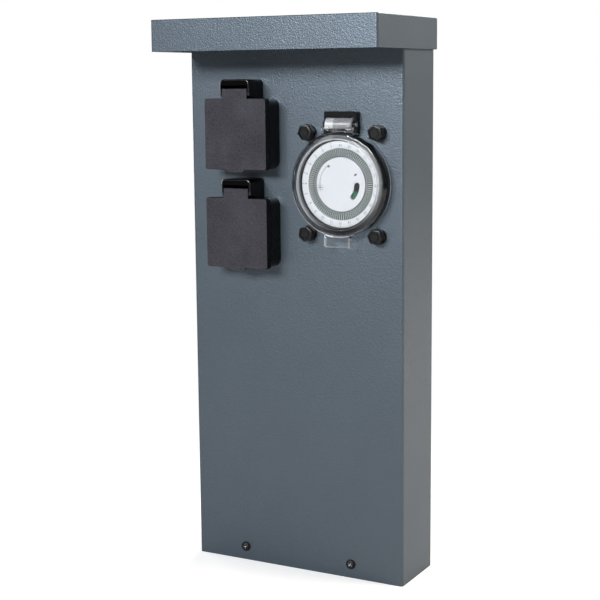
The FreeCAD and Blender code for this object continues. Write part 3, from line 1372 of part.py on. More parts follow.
def make_hinge_bracket():
    body = timer_body("hinge_bracket")
    base = new_sketch(body, "front")
    outline(base, [
        ("-bracket_half", "bracket_bottom"),
        ("bracket_half", "bracket_bottom"),
        ("bracket_half", "bracket_top", "bracket_corner"),
        ("-bracket_half", "bracket_top", "bracket_corner"),
    ])
    pad(body, base, "bracket_base")
    frame = new_sketch(body, "front")
    outline(frame, [
        ("-bracket_half", "bracket_bottom"),
        ("-bracket_half + bracket_side", "bracket_bottom"),
        ("-bracket_half + bracket_side", "bracket_top - bracket_bar"),
        ("bracket_half - bracket_side", "bracket_top - bracket_bar"),
        ("bracket_half - bracket_side", "bracket_bottom"),
        ("bracket_half", "bracket_bottom"),
        ("bracket_half", "bracket_top", "bracket_corner"),
        ("-bracket_half", "bracket_top", "bracket_corner"),
    ])
    pad(body, frame, "cover_hinge_depth")
    for start in ("-bracket_half", "bracket_half - bracket_side"):
        ear = new_sketch(body, "side", start)
        circle(ear, "-cover_hinge_depth", "cover_hinge_rise", "bracket_tip")
        pad(body, ear, "bracket_side")
    rim = new_sketch(body, "front", "cover_hinge_depth + bracket_tip")
    circle(rim, "0", "0", "cover_radius + bracket_arc_gap")
    cut(body, rim, "cover_hinge_depth + bracket_tip")
    pin = new_sketch(body, "side", "bracket_half")
    circle(pin, "-cover_hinge_depth", "cover_hinge_rise", "cover_pin_radius + fixed_gap")
    cut(body, pin, "2 * bracket_half")
    pegs = new_sketch(body, "front")
    for sign in ("", "-"):
        circle(pegs, "%speg_pitch / 2" % sign, "peg_rise", "peg_radius")
    pad(body, pegs, "peg_length", back=True)


def make_cover_pin():
    body = timer_body("cover_pin")
    pin = new_sketch(body, "side", "-bracket_half - cover_pin_spare")
    circle(pin, "-cover_hinge_depth", "cover_hinge_rise", "cover_pin_radius")
    pad(body, pin, "2 * (bracket_half + cover_pin_spare)")


def make_timer_bolts():
    """Hexagon bolts with chamfered heads on washers, and the nuts behind the flange."""
    face = number("column_depth / 2")
    seat = face + number("washer_gauge")
    top = seat + number("bolt_head")
    nut_front = face - number("gauge + timer_gasket + flange_gauge")
    nut_rear = nut_front - number("nut_height")
    flats = number("bolt_flats")
    bolts = []
    washers = []
    nuts = []
    for x_side in (-1, 1):
        for z_side in (-1, 1):
            x = number("timer_x") + x_side * number("bolt_pitch_x / 2")
            z = number("timer_z") + z_side * number("bolt_pitch_z / 2")
            head = hexagon_y(flats, seat, top, x, z)
            slope = Part.makeCone(flats / 2 * 0.94 + number("bolt_head"), flats / 2 * 0.94,
                                  number("bolt_head"), Vector(x, -seat, z), Vector(0, -1, 0))
            shank = turned_y(number("bolt_radius"), nut_rear - number("bolt_spare"), seat, x, z)
            bolts.append(head.common(slope).fuse(shank))
            washers.append(turned_y(number("washer_radius"), face, seat, x, z,
                                    number("bolt_hole_radius")))
            nuts.append(hexagon_y(flats, nut_rear, nut_front, x, z,
                                  number("bolt_radius + thread_gap")))
    new_group("timer_bolts", bolts)
    new_group("timer_washers", washers)
    new_group("timer_nuts", nuts)


make_column_shell()
make_back_panel()
make_hood()
make_hood_fixings()
make_top_bracket()
make_base_plate()
make_housing_screws()
make_cable_grommet()
make_cord_clamp()
make_terminal_block()
for name, height in SOCKETS:
    make_socket_body(name + "_socket_body", height)
    make_socket_gasket(name + "_socket_gasket", height)
    make_contact_insert(name + "_contact_insert", height)
    make_earth_clip(name + "_earth_clip", height)
    make_lid(name + "_lid", height)
    make_lid_seal(name + "_lid_seal", height)
    make_lid_pin(name + "_lid_pin", height)
    make_lid_spring(name + "_lid_spring", height)
make_contacts()
make_socket_fixings()
make_timer_case()
make_timer_bezel()
make_timer_gasket()
make_timer_bridge()
make_timer_motor()
make_drive_pinion()
make_timer_switch()
make_timer_terminals()
make_dial()
make_dial_gear()
make_tab_carrier()
make_trip_tabs()
make_centre_plate()
make_mode_switch()
make_timer_cover()
make_hinge_bracket()
make_cover_pin()
make_timer_bolts()

doc.recompute()
for item in doc.Objects:
    if "Invalid" in item.State or "Error" in item.State:
        raise ValueError("%s is not up to date: %s" % (item.Label, item.State))
for node in nodes:
    if node.Shape.isNull() or not node.Shape.isValid() or not node.Shape.Solids:
        raise ValueError("%s has no valid solid" % node.Label)

os.makedirs("parts", exist_ok=True)
for node in nodes:
    node.Shape.exportStep("parts/%s.step" % node.Label)
print("%d pieces written" % len(nodes))
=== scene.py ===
import math

import bmesh
import bpy
from mathutils import Matrix, Vector


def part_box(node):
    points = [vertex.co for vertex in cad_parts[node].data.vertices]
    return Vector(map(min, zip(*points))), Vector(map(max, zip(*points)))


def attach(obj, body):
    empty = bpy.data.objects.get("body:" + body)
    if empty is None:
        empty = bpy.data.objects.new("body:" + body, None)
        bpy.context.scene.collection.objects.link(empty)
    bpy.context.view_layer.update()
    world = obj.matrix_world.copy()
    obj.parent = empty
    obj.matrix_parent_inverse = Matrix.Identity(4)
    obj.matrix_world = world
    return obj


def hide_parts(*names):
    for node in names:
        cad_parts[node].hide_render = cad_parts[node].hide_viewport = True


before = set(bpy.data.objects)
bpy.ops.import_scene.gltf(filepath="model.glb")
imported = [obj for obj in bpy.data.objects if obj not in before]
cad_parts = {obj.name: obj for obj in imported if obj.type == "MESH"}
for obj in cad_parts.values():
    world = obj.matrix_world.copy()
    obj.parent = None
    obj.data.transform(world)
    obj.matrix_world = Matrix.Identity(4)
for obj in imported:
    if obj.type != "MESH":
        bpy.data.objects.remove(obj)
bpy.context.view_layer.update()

# The studio. A pale floor, a white surround, and the camera where the photograph's stood. The side lamp
# stands behind the sheet's front, so that only the column's side and the hood's end get it. The sheen and
# gleam lamps show in the gloss alone.

scene = bpy.context.scene
scene.view_settings.view_transform = "Standard"

sensor_width, photo_pixels, focal_pixels = 36, 600, 1382.9
lens_place = Vector((0.46958, -0.88848, 0.35737))
lens_turn, lens_dip, lens_roll = (math.radians(angle) for angle in (-28.365, 9.02, -0.522))
ahead = Vector((math.sin(lens_turn) * math.cos(lens_dip),
                math.cos(lens_turn) * math.cos(lens_dip), -math.sin(lens_dip)))
level = ahead.cross(Vector((0, 0, 1))).normalized()
upward = level.cross(ahead)
right = math.cos(lens_roll) * level + math.sin(lens_roll) * upward
above = math.cos(lens_roll) * upward - math.sin(lens_roll) * level
camera = bpy.data.objects.new("camera", bpy.data.cameras.new("camera"))
camera.matrix_world = Matrix.Translation(lens_place) @ Matrix((right, above, -ahead)).transposed().to_4x4()
camera.data.sensor_width = sensor_width
camera.data.lens = sensor_width * focal_pixels / photo_pixels
camera.data.clip_start = 0.01
scene.collection.objects.link(camera)
scene.camera = camera


def soft_lamp(name, place, aim, size, watts, colour):
    """A square soft box at a place, turned to shine at a point. The clear cover's rim doesn't show it."""
    lamp = bpy.data.objects.new(name, bpy.data.lights.new(name, "AREA"))
    lamp.data.shape = "RECTANGLE"
    lamp.data.size = lamp.data.size_y = size
    lamp.data.energy = watts
    lamp.data.color = colour
    lamp.location = place
    lamp.rotation_euler = (Vector(aim) - Vector(place)).to_track_quat("-Z", "Y").to_euler()
    lamp.visible_transmission = False
    scene.collection.objects.link(lamp)
    return lamp


soft_lamp("key_lamp", (0.0, -2.2, 1.1), (0, 0, 0.22), 0.6, 38, (0.97, 0.985, 1.0))
side_light = soft_lamp("side_lamp", (1.75, 0.6, 1.1), (0, 0, 0.25), 1.0, 57, (1.0, 0.885, 0.75))
side_light.visible_glossy = False
soft_lamp("left_lamp", (-2.1, 0.75, 0.7), (0, 0, 0.2), 1.2, 26, (1.0, 1.0, 1.0))
soft_lamp("rear_lamp", (-0.3, 2.2, 1.2), (0, 0, 0.25), 1.2, 30, (1.0, 1.0, 1.0))
sheen = soft_lamp("sheen_lamp", (-0.55, -2.0, 1.05), (0.1, 0, 0.35), 0.45, 30, (0.95, 0.975, 1.0))
sheen.visible_diffuse = False
gleam = soft_lamp("gleam_lamp", (0.85, 1.6, 0.65), (0.08, 0, 0.38), 0.45, 1.1, (1.0, 0.96, 0.92))
gleam.visible_diffuse = False


class Amount:
    """A number or colour at each point of a surface. A sum on it adds Math nodes."""

    def __init__(self, finish, socket):
        self.finish = finish
        self.socket = socket

    def sum(self, operation, first, second=0.0):
        return self.finish.node("ShaderNodeMath", {"operation": operation}, {0: first, 1: second})

    def __add__(self, other):
        return self.sum("ADD", self, other)

    def __radd__(self, other):
        return self.sum("ADD", other, self)

    def __sub__(self, other):
        return self.sum("SUBTRACT", self, other)

    def __rsub__(self, other):
        return self.sum("SUBTRACT", other, self)

    def __mul__(self, other):
        return self.sum("MULTIPLY", self, other)

    def __rmul__(self, other):
        return self.sum("MULTIPLY", other, self)

    def power(self, other):
        return self.sum("POWER", self, other)

    def part(self):
        """What is left over past the last whole number."""
        return self.sum("FRACT", self)

    def size(self):
        """The number without its sign."""
        return self.sum("ABSOLUTE", self)

    def turn(self, across):
        """The angle in radians of a point this far up and that far across."""
        return self.sum("ARCTAN2", self, across)

    def over(self, limit):
        """1 above a limit, or else 0."""
        return self.sum("GREATER_THAN", self, limit)

    def under(self, limit):
        """1 below a limit, or else 0."""
        return self.sum("LESS_THAN", self, limit)

    def rise(self, low, high):
        """A soft step from 0 at a low limit to 1 at a high one."""
        return self.finish.node("ShaderNodeMapRange", {"interpolation_type": "SMOOTHSTEP"},
                                {"Value": self, "From Min": low, "From Max": high})


class Finish:
    """A material, or the world, in the making. Its patterns lie on Object coordinates, in metres."""

    def __init__(self, name, kind=bpy.data.materials):
        self.owner = kind.new(name)
        self.owner.use_nodes = True
        self.tree = self.owner.node_tree
        self.tree.nodes.clear()
        self.place = self.node("ShaderNodeTexCoord", output="Object")

    def node(self, kind, settings=None, values=None, output=0):
        """A node of a type, with its settings and then the values or links of its sockets."""
        made = self.tree.nodes.new(kind)
        for key, value in (settings or {}).items():
            setattr(made, key, value)
        for key, value in (values or {}).items():
            if isinstance(value, Amount):
                self.tree.links.new(value.socket, made.inputs[key])
            else:
                made.inputs[key].default_value = value
        return Amount(self, made.outputs[output]) if len(made.outputs) else None

    def ray(self, question):
        """What Light Path answers about the ray that meets the surface."""
        return self.node("ShaderNodeLightPath", output=question)

    def along(self, axis):
        """How far the point lies along X, Y or Z, in metres."""
        return self.node("ShaderNodeSeparateXYZ", {}, {0: self.place}, axis)

    def rearward(self):
        """How far the face looks to the rear: 1 straight back, and -1 straight to the front."""
        normal = self.node("ShaderNodeTexCoord", output="Normal")
        return self.node("ShaderNodeSeparateXYZ", {}, {0: normal}, "Y")

    def grain(self, size, detail=2.0, rough=0.5):
        """Noise with features of a size in millimetres, from 0 to 1."""
        return self.node("ShaderNodeTexNoise", {}, {"Vector": self.place, "Scale": 1000 / size,
                                                    "Detail": detail, "Roughness": rough}, "Fac")

    def cells(self, size):
        """How far the point lies from the nearest of scattered ones, a size in millimetres apart."""
        return self.node("ShaderNodeTexVoronoi", {}, {"Vector": self.place, "Scale": 1000 / size}, "Distance")

    def blend(self, factor, first, second):
        """One colour or the other, by a number from 0 to 1."""
        return self.node("ShaderNodeMix", {"data_type": "RGBA"}, {0: factor, 6: first, 7: second}, 2)

    def mix(self, factor, first, second):
        """One shader or the other, by a number from 0 to 1."""
        return self.node("ShaderNodeMixShader", {}, {0: factor, 1: first, 2: second})

    def relief(self, height, depth, strength):
        """A bump from a height of 0 to 1, that is a depth in millimetres."""
        return self.node("ShaderNodeBump", {}, {"Height": height, "Strength": strength,
                                                "Distance": depth / 1000})

    def end(self, shader, output="ShaderNodeOutputMaterial"):
        """The finished material, with this shader as its surface."""
        self.node(output, {}, {"Surface": shader})
        return self.owner

    def surface(self, values):
        """The finished material, with one Principled shader as its surface."""
        return self.end(self.node("ShaderNodeBsdfPrincipled", {}, values))


# The camera sees white past the column, also through the clear cover. All other rays get a plain light.
surround = Finish("surround", bpy.data.worlds)
bounces = surround.ray("Diffuse Depth") + surround.ray("Glossy Depth")
sees_white = surround.ray("Is Camera Ray") + surround.ray("Is Transmission Ray") * bounces.under(0.5)
plain = surround.node("ShaderNodeBackground", {}, {"Color": (0.93, 0.96, 1.0, 1), "Strength": 0.12})
white = surround.node("ShaderNodeBackground", {}, {"Color": (1, 1, 1, 1), "Strength": 1.0})
scene.world = surround.end(surround.mix(sees_white, plain, white), "ShaderNodeOutputWorld")

# The floor is lifted towards white for the camera alone, and is all white away from the column's foot.
pale, paler = (0.57, 0.57, 0.57, 1), (0.61, 0.61, 0.61, 1)
floor_finish = Finish("pale_floor")
lit_floor = floor_finish.node("ShaderNodeBsdfPrincipled", {}, {
    "Base Color": floor_finish.blend(floor_finish.grain(60, 3.0), pale, paler),
    "Roughness": 0.8, "Specular IOR Level": 0.1})
lift = floor_finish.node("ShaderNodeEmission", {}, {"Color": (1, 1, 1, 1), "Strength": 0.6})
lifted_floor = floor_finish.node("ShaderNodeAddShader", {}, {0: lit_floor, 1: lift})
white_floor = floor_finish.node("ShaderNodeEmission", {}, {"Color": (1, 1, 1, 1), "Strength": 1.0})
shadow_reach, white_from = 0.16, 0.5
away = floor_finish.node("ShaderNodeVectorMath", {"operation": "LENGTH"}, {0: floor_finish.place}, "Value")
seen_floor = floor_finish.mix(away.rise(shadow_reach, white_from), lifted_floor, white_floor)
floor_material = floor_finish.end(floor_finish.mix(floor_finish.ray("Is Camera Ray"), lit_floor, seen_floor))

floor_mesh = bmesh.new()
bmesh.ops.create_grid(floor_mesh, x_segments=2, y_segments=2, size=6)
floor_data = bpy.data.meshes.new("floor")
floor_mesh.to_mesh(floor_data)
floor_mesh.free()
floor = bpy.data.objects.new("floor", floor_data)
floor_data.materials.append(floor_material)
scene.collection.objects.link(floor)

# The column. Sheet steel folded into front, sides and rear returns, with a flat back panel, all
# powder coated blue-grey after the holes were cut. The coat is a fine even leathery texture.

column_low, column_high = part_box("column_shell")
front_face, rear_face = column_low[1], column_high[1]


def tone(red, green, blue):
    """A colour as it looks on a screen, 0 to 255, as the light it sends back."""
    parts = [part / 255 for part in (red, green, blue)]
    return tuple(part / 12.92 if part <= 0.04045 else ((part + 0.055) / 1.055) ** 2.4
                 for part in parts) + (1.0,)


def shade(colour, share, grey=0.0):
    """A share of a colour, with a little grey laid over it."""
    return tuple(min(1.0, part * share + grey) for part in colour[:3]) + (1.0,)


def dress(node, material):
    """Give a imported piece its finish."""
    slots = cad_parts[node].data.materials
    if not len(slots):
        slots.append(material)
    for index in range(len(slots)):
        slots[index] = material


def powder_coat(name, colour):
    """Powder coat: leathery bumps about a millimetre apart, a little sheen and slow drifts."""
    coat = Finish(name)
    bumps = coat.grain(0.95, 3.0, 0.6)
    drift = coat.grain(38)
    fleck = coat.grain(0.35, 1.0)
    return coat.surface({
        "Base Color": coat.blend(0.35 * drift + 0.65 * fleck, shade(colour, 0.82), shade(colour, 1.14)),
        "Metallic": 0.5,
        "Roughness": 0.31 + 0.14 * bumps,
        "Specular IOR Level": 0.5,
        "Normal": coat.relief(bumps + 0.35 * coat.cells(1.5), 0.18, 0.85)})


coat_grey = tone(89, 100, 110)
column_coat = powder_coat("column_powder_coat", coat_grey)
dress("column_shell", column_coat)
dress("back_panel", column_coat)

# The hood. A tray of the same sheet, folded down on four sides and welded at its corners, coated
# with the column and bolted to the top bracket.

dress("hood", powder_coat("hood_powder_coat", coat_grey))

# Plated sheet inside: the base plate, the top bracket and the timer's inner plate. Steel with a
# zinc plating that shows the sheet's rolling lines and a faint spangle.


def zinc_plate(name, colour, rough):
    """Bright zinc over rolled steel."""
    plate = Finish(name)
    stretched = plate.node("ShaderNodeMapping", {}, {"Vector": plate.place, "Scale": (4, 60, 60)})
    lines = plate.node("ShaderNodeTexNoise", {}, {"Vector": stretched, "Scale": 60.0, "Detail": 3.0}, "Fac")
    spangle = plate.cells(3.5)
    return plate.surface({
        "Base Color": plate.blend(0.5 * lines + 0.5 * spangle, shade(colour, 0.8), colour),
        "Metallic": 0.92,
        "Roughness": rough + 0.18 * lines,
        "Normal": plate.relief(lines, 0.02, 0.4)})


plated_sheet = zinc_plate("plated_sheet", tone(200, 203, 205), 0.32)
for node in ("base_plate", "top_bracket", "timer_bridge"):
    dress(node, plated_sheet)
plated_small = zinc_plate("plated_fasteners", tone(205, 206, 206), 0.26)
for node in ("hood_studs", "hood_nuts", "base_nuts", "back_nuts", "cord_clamp_screws", "terminal_screws",
             "insert_screws", "socket_screws", "socket_nuts", "timer_nuts"):
    dress(node, plated_small)

# The housing screws. Blackened steel pan heads with a cross recess: two low on the front, six on
# the back. The crosses of the front two are painted bright, a painted glint.

base_screw_across, base_screw_high = 0.044, 0.0105
cross_reach, cross_rim = 0.0024, front_face - 0.0019


def blackened(name, colour, rough):
    """Black finish on steel, worn a little grey at random, with a painted glint: bright in the front screws'
    crosses.
    """
    black = Finish(name)
    wear = black.grain(1.2, 3.0)
    fine = black.grain(0.3)
    beside, over = black.along("X").size() - base_screw_across, black.along("Z") - base_screw_high
    from_screw = (beside * beside + over * over).power(0.5)
    # Painted glint: the crosses of the two front screws are painted bright metal.
    cross_glint_mask = from_screw.under(cross_reach) * black.along("Y").over(cross_rim)
    worn = black.blend(wear.power(3.0), colour, shade(colour, 2.2, 0.01))
    return black.surface({
        "Base Color": black.blend(cross_glint_mask, worn, tone(205, 205, 208)),
        "Metallic": 0.35,
        "Roughness": rough + 0.2 * fine,
        "Normal": black.relief(fine, 0.03, 0.5)})


black_steel = blackened("blackened_steel", tone(20, 20, 22), 0.35)


def piece(name, mesh, material, body, slot, *nodes):
    """A new piece from a bmesh, riding on a body, in place of the named nodes if there are any."""
    data = bpy.data.meshes.new(name)
    mesh.to_mesh(data)
    mesh.free()
    data.materials.append(material)
    made = bpy.data.objects.new(name, data)
    scene.collection.objects.link(made)
    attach(made, body)
    if nodes:
        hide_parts(*nodes)


def lathe(mesh, profile, steps=64, close=True):
    """Turn a line of (radius, height) points round the Z axis, with its ends on the axis or joined."""
    ring = [mesh.verts.new((radius, 0, height)) for radius, height in profile]
    pairs = list(zip(ring, ring[1:] + ring[:1])) if close else list(zip(ring, ring[1:]))
    line = ring + [mesh.edges.new(pair) for pair in pairs]
    bmesh.ops.spin(mesh, geom=line, cent=(0, 0, 0), axis=(0, 0, 1), angle=2 * math.pi,
                   steps=steps, use_merge=True)
    bmesh.ops.remove_doubles(mesh, verts=mesh.verts, dist=1e-6)
    bmesh.ops.recalc_face_normals(mesh, faces=mesh.faces)


def smooth(mesh, sharp=35):
    """Round shading, broken at edges sharper than an angle in degrees."""
    for face in mesh.faces:
        face.smooth = True
    for edge in mesh.edges:
        edge.smooth = len(edge.link_faces) == 2 and edge.calc_face_angle(0) < math.radians(sharp)


def combined(solid, other, way="DIFFERENCE"):
    """One bmesh cut out of another, or joined to it."""
    blocks = []
    for name, mesh in (("solid", solid), ("other", other)):
        data = bpy.data.meshes.new(name)
        mesh.to_mesh(data)
        mesh.free()
        block = bpy.data.objects.new(name, data)
        scene.collection.objects.link(block)
        blocks.append(block)
    knife = blocks[0].modifiers.new("cut", "BOOLEAN")
    knife.object = blocks[1]
    knife.operation = way
    knife.solver = "EXACT"
    knife.use_self = way == "DIFFERENCE"
    cut_block = blocks[0].evaluated_get(bpy.context.evaluated_depsgraph_get())
    result = bmesh.new()
    result.from_mesh(cut_block.to_mesh())
    cut_block.to_mesh_clear()
    for block in blocks:
        data = block.data
        bpy.data.objects.remove(block)
        bpy.data.meshes.remove(data)
    return result


def spun(mesh, verts, degrees):
    """Turn some vertices round the Z axis."""
    bmesh.ops.rotate(mesh, verts=verts, cent=(0, 0, 0), matrix=Matrix.Rotation(math.radians(degrees), 3, "Z"))


def cross_screw():
    """A pan head screw on the Z axis, its head above and its shank below, with a cross recess."""
    head, tall, rounding, rim = 0.0035, 0.0022, 0.0011, 0.0001
    shank, length = 0.002, 0.0075
    wing_foot, wing_top, wing_deep, wing_slim = 0.00055, 0.0030, 0.0018, 0.24
    wing_middle = tall - 0.0005
    screw = bmesh.new()
    arc = [(head - rounding + rounding * math.cos(turn), tall - rounding + rounding * math.sin(turn))
           for turn in (0, 0.4, 0.8, 1.2, 1.5)]
    lathe(screw, [(0, -length), (shank, -length), (shank, 0), (head - rim, 0), (head, rim)]
          + arc + [(0, tall)], 48, close=False)
    cross = bmesh.new()
    for turn in (0, 90):
        wing = bmesh.ops.create_cone(cross, segments=4, radius1=wing_foot, radius2=wing_top,
                                     depth=wing_deep, cap_ends=True)["verts"]
        spun(cross, wing, 45)
        bmesh.ops.scale(cross, verts=wing, vec=(1, wing_slim, 1))
        bmesh.ops.translate(cross, verts=wing, vec=(0, 0, wing_middle))
        spun(cross, wing, turn)
    return combined(screw, cross)


def set_out(pattern, places, way):
    """Copies of a piece made on the Z axis, at places on the sheet, their heads facing along way."""
    stock = bpy.data.meshes.new("pattern")
    pattern.to_mesh(stock)
    pattern.free()
    turn = Vector(way).to_track_quat("Z", "X").to_matrix()
    group = bmesh.new()
    for place, spin in places:
        before = len(group.verts)
        group.from_mesh(stock)
        group.verts.ensure_lookup_table()
        fresh = group.verts[before:]
        spun(group, fresh, spin)
        bmesh.ops.rotate(group, verts=fresh, cent=(0, 0, 0), matrix=turn)
        bmesh.ops.translate(group, verts=fresh, vec=place)
    bpy.data.meshes.remove(stock)
    smooth(group)
    return group


front_places = [((-base_screw_across, front_face, base_screw_high), 12),
                ((base_screw_across, front_face, base_screw_high), 55)]
piece("front_cross_screws", set_out(cross_screw(), front_places, (0, -1, 0)),
      black_steel, "housing", "black_screws", "base_screws")
back_screw_across, back_screw_heights = 0.077, (0.0105, 0.189, 0.358)
rear_places = [((side * back_screw_across, rear_face, height), 20 + 37 * count)
               for count, height in enumerate(back_screw_heights) for side in (-1, 1)]
piece("rear_cross_screws", set_out(cross_screw(), rear_places, (0, 1, 0)),
      black_steel, "housing", "black_screws", "back_screws")

# The cable inlet. A black rubber grommet in the back panel, and a grey nylon clamp behind it that
# holds the cord before it reaches the terminal block.


def rubber(name):
    """Soft black rubber with a pale bloom in patches."""
    soft = Finish(name)
    bloom = soft.grain(6, 3.0)
    fine = soft.grain(0.25)
    return soft.surface({
        "Base Color": soft.blend(bloom, tone(24, 24, 25), tone(40, 40, 41)),
        "Roughness": 0.72 + 0.16 * fine,
        "Specular IOR Level": 0.3,
        "Normal": soft.relief(fine, 0.03, 0.5)})


black_rubber = rubber("black_rubber")
for node in ("cable_grommet", "upper_socket_gasket", "lower_socket_gasket", "upper_lid_seal",
             "lower_lid_seal", "timer_gasket"):
    dress(node, black_rubber)


def moulded(name, colour, rough, size=0.4, depth=0.03, spread=0.12, shine=0.5):
    """Moulded plastic: an even colour with a fine eroded grain from the mould."""
    plastic = Finish(name)
    fine = plastic.grain(size, 2.0, 0.6)
    flow = plastic.grain(14)
    return plastic.surface({
        "Base Color": plastic.blend(0.5 * flow + 0.5 * fine, shade(colour, 1 - spread),
                                    shade(colour, 1 + spread)),
        "Roughness": rough + 0.12 * fine,
        "Specular IOR Level": shine,
        "Normal": plastic.relief(fine, depth, 0.6)})


dress("cord_clamp", moulded("grey_nylon", tone(150, 152, 154), 0.5))
dress("terminal_block", moulded("cream_nylon", tone(225, 222, 212), 0.45))

# The two sockets. Black moulded bodies with a glossy hinge housing above, and contacts of brass and
# spring steel in a matt insert. Only rounded faces that look forwards take the gloss.

glossy = Finish("socket_black")
gloss_grain = glossy.grain(0.5, 3.0)
rounded = glossy.rearward().under(-0.15) * glossy.rearward().over(-0.985)
socket_black = glossy.surface({
    "Base Color": glossy.blend(gloss_grain, tone(4, 4, 5), tone(8, 8, 9)),
    "Roughness": 0.16 + 0.04 * gloss_grain,
    "Specular IOR Level": 0.15,
    "Coat Weight": rounded,
    "Coat Roughness": 0.26,
    "Normal": glossy.relief(gloss_grain, 0.01, 0.3)})
insert_black = moulded("insert_black", tone(30, 30, 32), 0.5)
brass = Finish("contact_brass")
tarnish = brass.grain(2.5, 3.0)
contact_brass = brass.surface({
    "Base Color": brass.blend(tarnish, tone(196, 160, 92), tone(222, 190, 120)),
    "Metallic": 1.0,
    "Roughness": 0.22 + 0.2 * tarnish})
bright_pin = zinc_plate("bright_steel_pin", tone(214, 214, 214), 0.2)
for side in ("upper", "lower"):
    dress(side + "_socket_body", socket_black)
    dress(side + "_contact_insert", insert_black)
    dress(side + "_contact_sleeves", contact_brass)
    dress(side + "_earth_clip", plated_small)
    dress(side + "_lid_spring", plated_small)
    dress(side + "_lid_pin", bright_pin)

# The socket lids. Black moulded caps with a spark eroded face and a narrow tongue up into the hinge
# housing. The face is painted grey, a painted sheen, and the other faces stay near black.

lid = Finish("lid_black_painted_sheen")
erosion = lid.grain(1.1, 3.0, 0.7)
lid_drift = lid.grain(25)
# Painted sheen: faces that look forwards are painted grey, the rest near black.
painted_sheen_face = lid.blend(2.2 * erosion + 1.2 * lid_drift - 1.2, tone(44, 43, 49), tone(74, 73, 82))
lid_with_painted_sheen = lid.surface({
    "Base Color": lid.blend(lid.rearward().under(-0.6), tone(5, 5, 6), painted_sheen_face),
    "Roughness": 0.46 + 0.16 * erosion,
    "Specular IOR Level": 0.15,
    "Normal": lid.relief(erosion + 0.4 * lid.cells(1.0), 0.3, 1.0)})
for side in ("upper", "lower"):
    dress(side + "_lid", lid_with_painted_sheen)

# The timer. A black case behind the sheet with a thin collar through it, a motor and a switch on an
# inner plate, and four black bolts.

timer_black = moulded("timer_black", tone(16, 16, 18), 0.32, shine=0.3)
for node in ("timer_case", "timer_switch", "timer_terminals"):
    dress(node, timer_black)
dress("timer_bezel", moulded("bezel_black", tone(7, 7, 8), 0.3, shine=0.3))
dress("timer_motor", zinc_plate("motor_can", tone(190, 190, 188), 0.3))
natural = moulded("natural_acetal", tone(232, 229, 216), 0.35)
for node in ("drive_pinion", "dial_gear"):
    dress(node, natural)
dress("hinge_bracket", moulded("bracket_black", tone(10, 10, 12), 0.2, size=0.5, depth=0.01, spread=0.2,
                               shine=0.3))
dress("cover_pin", bright_pin)
bolt_black = moulded("bolt_black", tone(11, 11, 13), 0.24, size=0.6, depth=0.02, spread=0.2, shine=0.4)
dress("timer_washers", bolt_black)


def hex_bolt():
    """A hexagon bolt on the Z axis, its head from 0 up, chamfered, with a dished top."""
    flats, tall, chamfer = 0.010, 0.0063, 0.00045
    shank, length = 0.0029, 0.0130
    corner = flats / math.sqrt(3)
    bolt = bmesh.new()
    bmesh.ops.create_cone(bolt, segments=6, radius1=corner, radius2=corner, depth=tall, cap_ends=True)
    bmesh.ops.translate(bolt, verts=bolt.verts, vec=(0, 0, tall / 2))
    bmesh.ops.bevel(bolt, geom=list(bolt.edges), offset=chamfer, offset_type="OFFSET", affect="EDGES",
                    segments=3, profile=0.5, material=-1)
    top = max(bolt.faces, key=lambda face: face.calc_center_median().z)
    for inwards, upwards in ((0.0009, 0.0), (0.0004, -0.0006), (0.0010, 0.0), (0.0003, 0.0004)):
        bmesh.ops.inset_region(bolt, faces=[top], thickness=inwards, depth=upwards)
    stem = bmesh.ops.create_cone(bolt, segments=40, radius1=shank, radius2=shank, depth=length,
                                 cap_ends=True)["verts"]
    bmesh.ops.translate(bolt, verts=stem, vec=(0, 0, -length / 2))
    return bolt


dial_low, dial_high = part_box("dial")
axis_x = (dial_low[0] + dial_high[0]) / 2
axis_z = (dial_low[2] + dial_high[2]) / 2
bolt_across, bolt_up, washer = 0.027, 0.0355, 0.0016
bolt_places = [((axis_x + across * bolt_across, front_face - washer, axis_z + up * bolt_up), spin)
               for across, up, spin in ((-1, 1, 8), (1, 1, 41), (-1, -1, 19), (1, -1, 52))]
piece("hexagon_bolts", set_out(hex_bolt(), bolt_places, (0, -1, 0)), bolt_black, "housing",
      "bolt_black", "timer_bolts")

# The dial. A white moulded dish with a raised number ring, and a dark green ring that carries 96
# green tabs, one for each quarter of an hour, each stamped with a white line.

dial_white = moulded("dial_white", tone(240, 243, 249), 0.30, size=0.5, depth=0.01, spread=0.03)
dress("tab_carrier", moulded("carrier_green", tone(3, 42, 36), 0.5))
quarters = 96
tab = Finish("tab_green_stamped_white")
tab_fine = tab.grain(0.4)
tab_angle = (tab.along("Z") - axis_z).turn(tab.along("X") - axis_x)
tab_count = tab_angle * (quarters / (2 * math.pi)) + quarters
stamped = tab.rearward().under(-0.5) * (tab_count.part() - 0.5).size().under(0.155)
dress("trip_tabs", tab.surface({
    "Base Color": tab.blend(stamped, tone(0, 82, 70), tone(244, 247, 252)),
    "Roughness": 0.35 + 0.1 * tab_fine,
    "Normal": tab.relief(tab_fine, 0.01, 0.4)}))


def on_face(mesh, before):
    """Bring a shape from the Z axis to the dial's axis, its zero height this far before the sheet."""
    bmesh.ops.rotate(mesh, verts=mesh.verts, cent=(0, 0, 0), matrix=Matrix.Rotation(math.pi / 2, 3, "X"))
    bmesh.ops.translate(mesh, verts=mesh.verts, vec=(axis_x, front_face - before, axis_z))
    return mesh


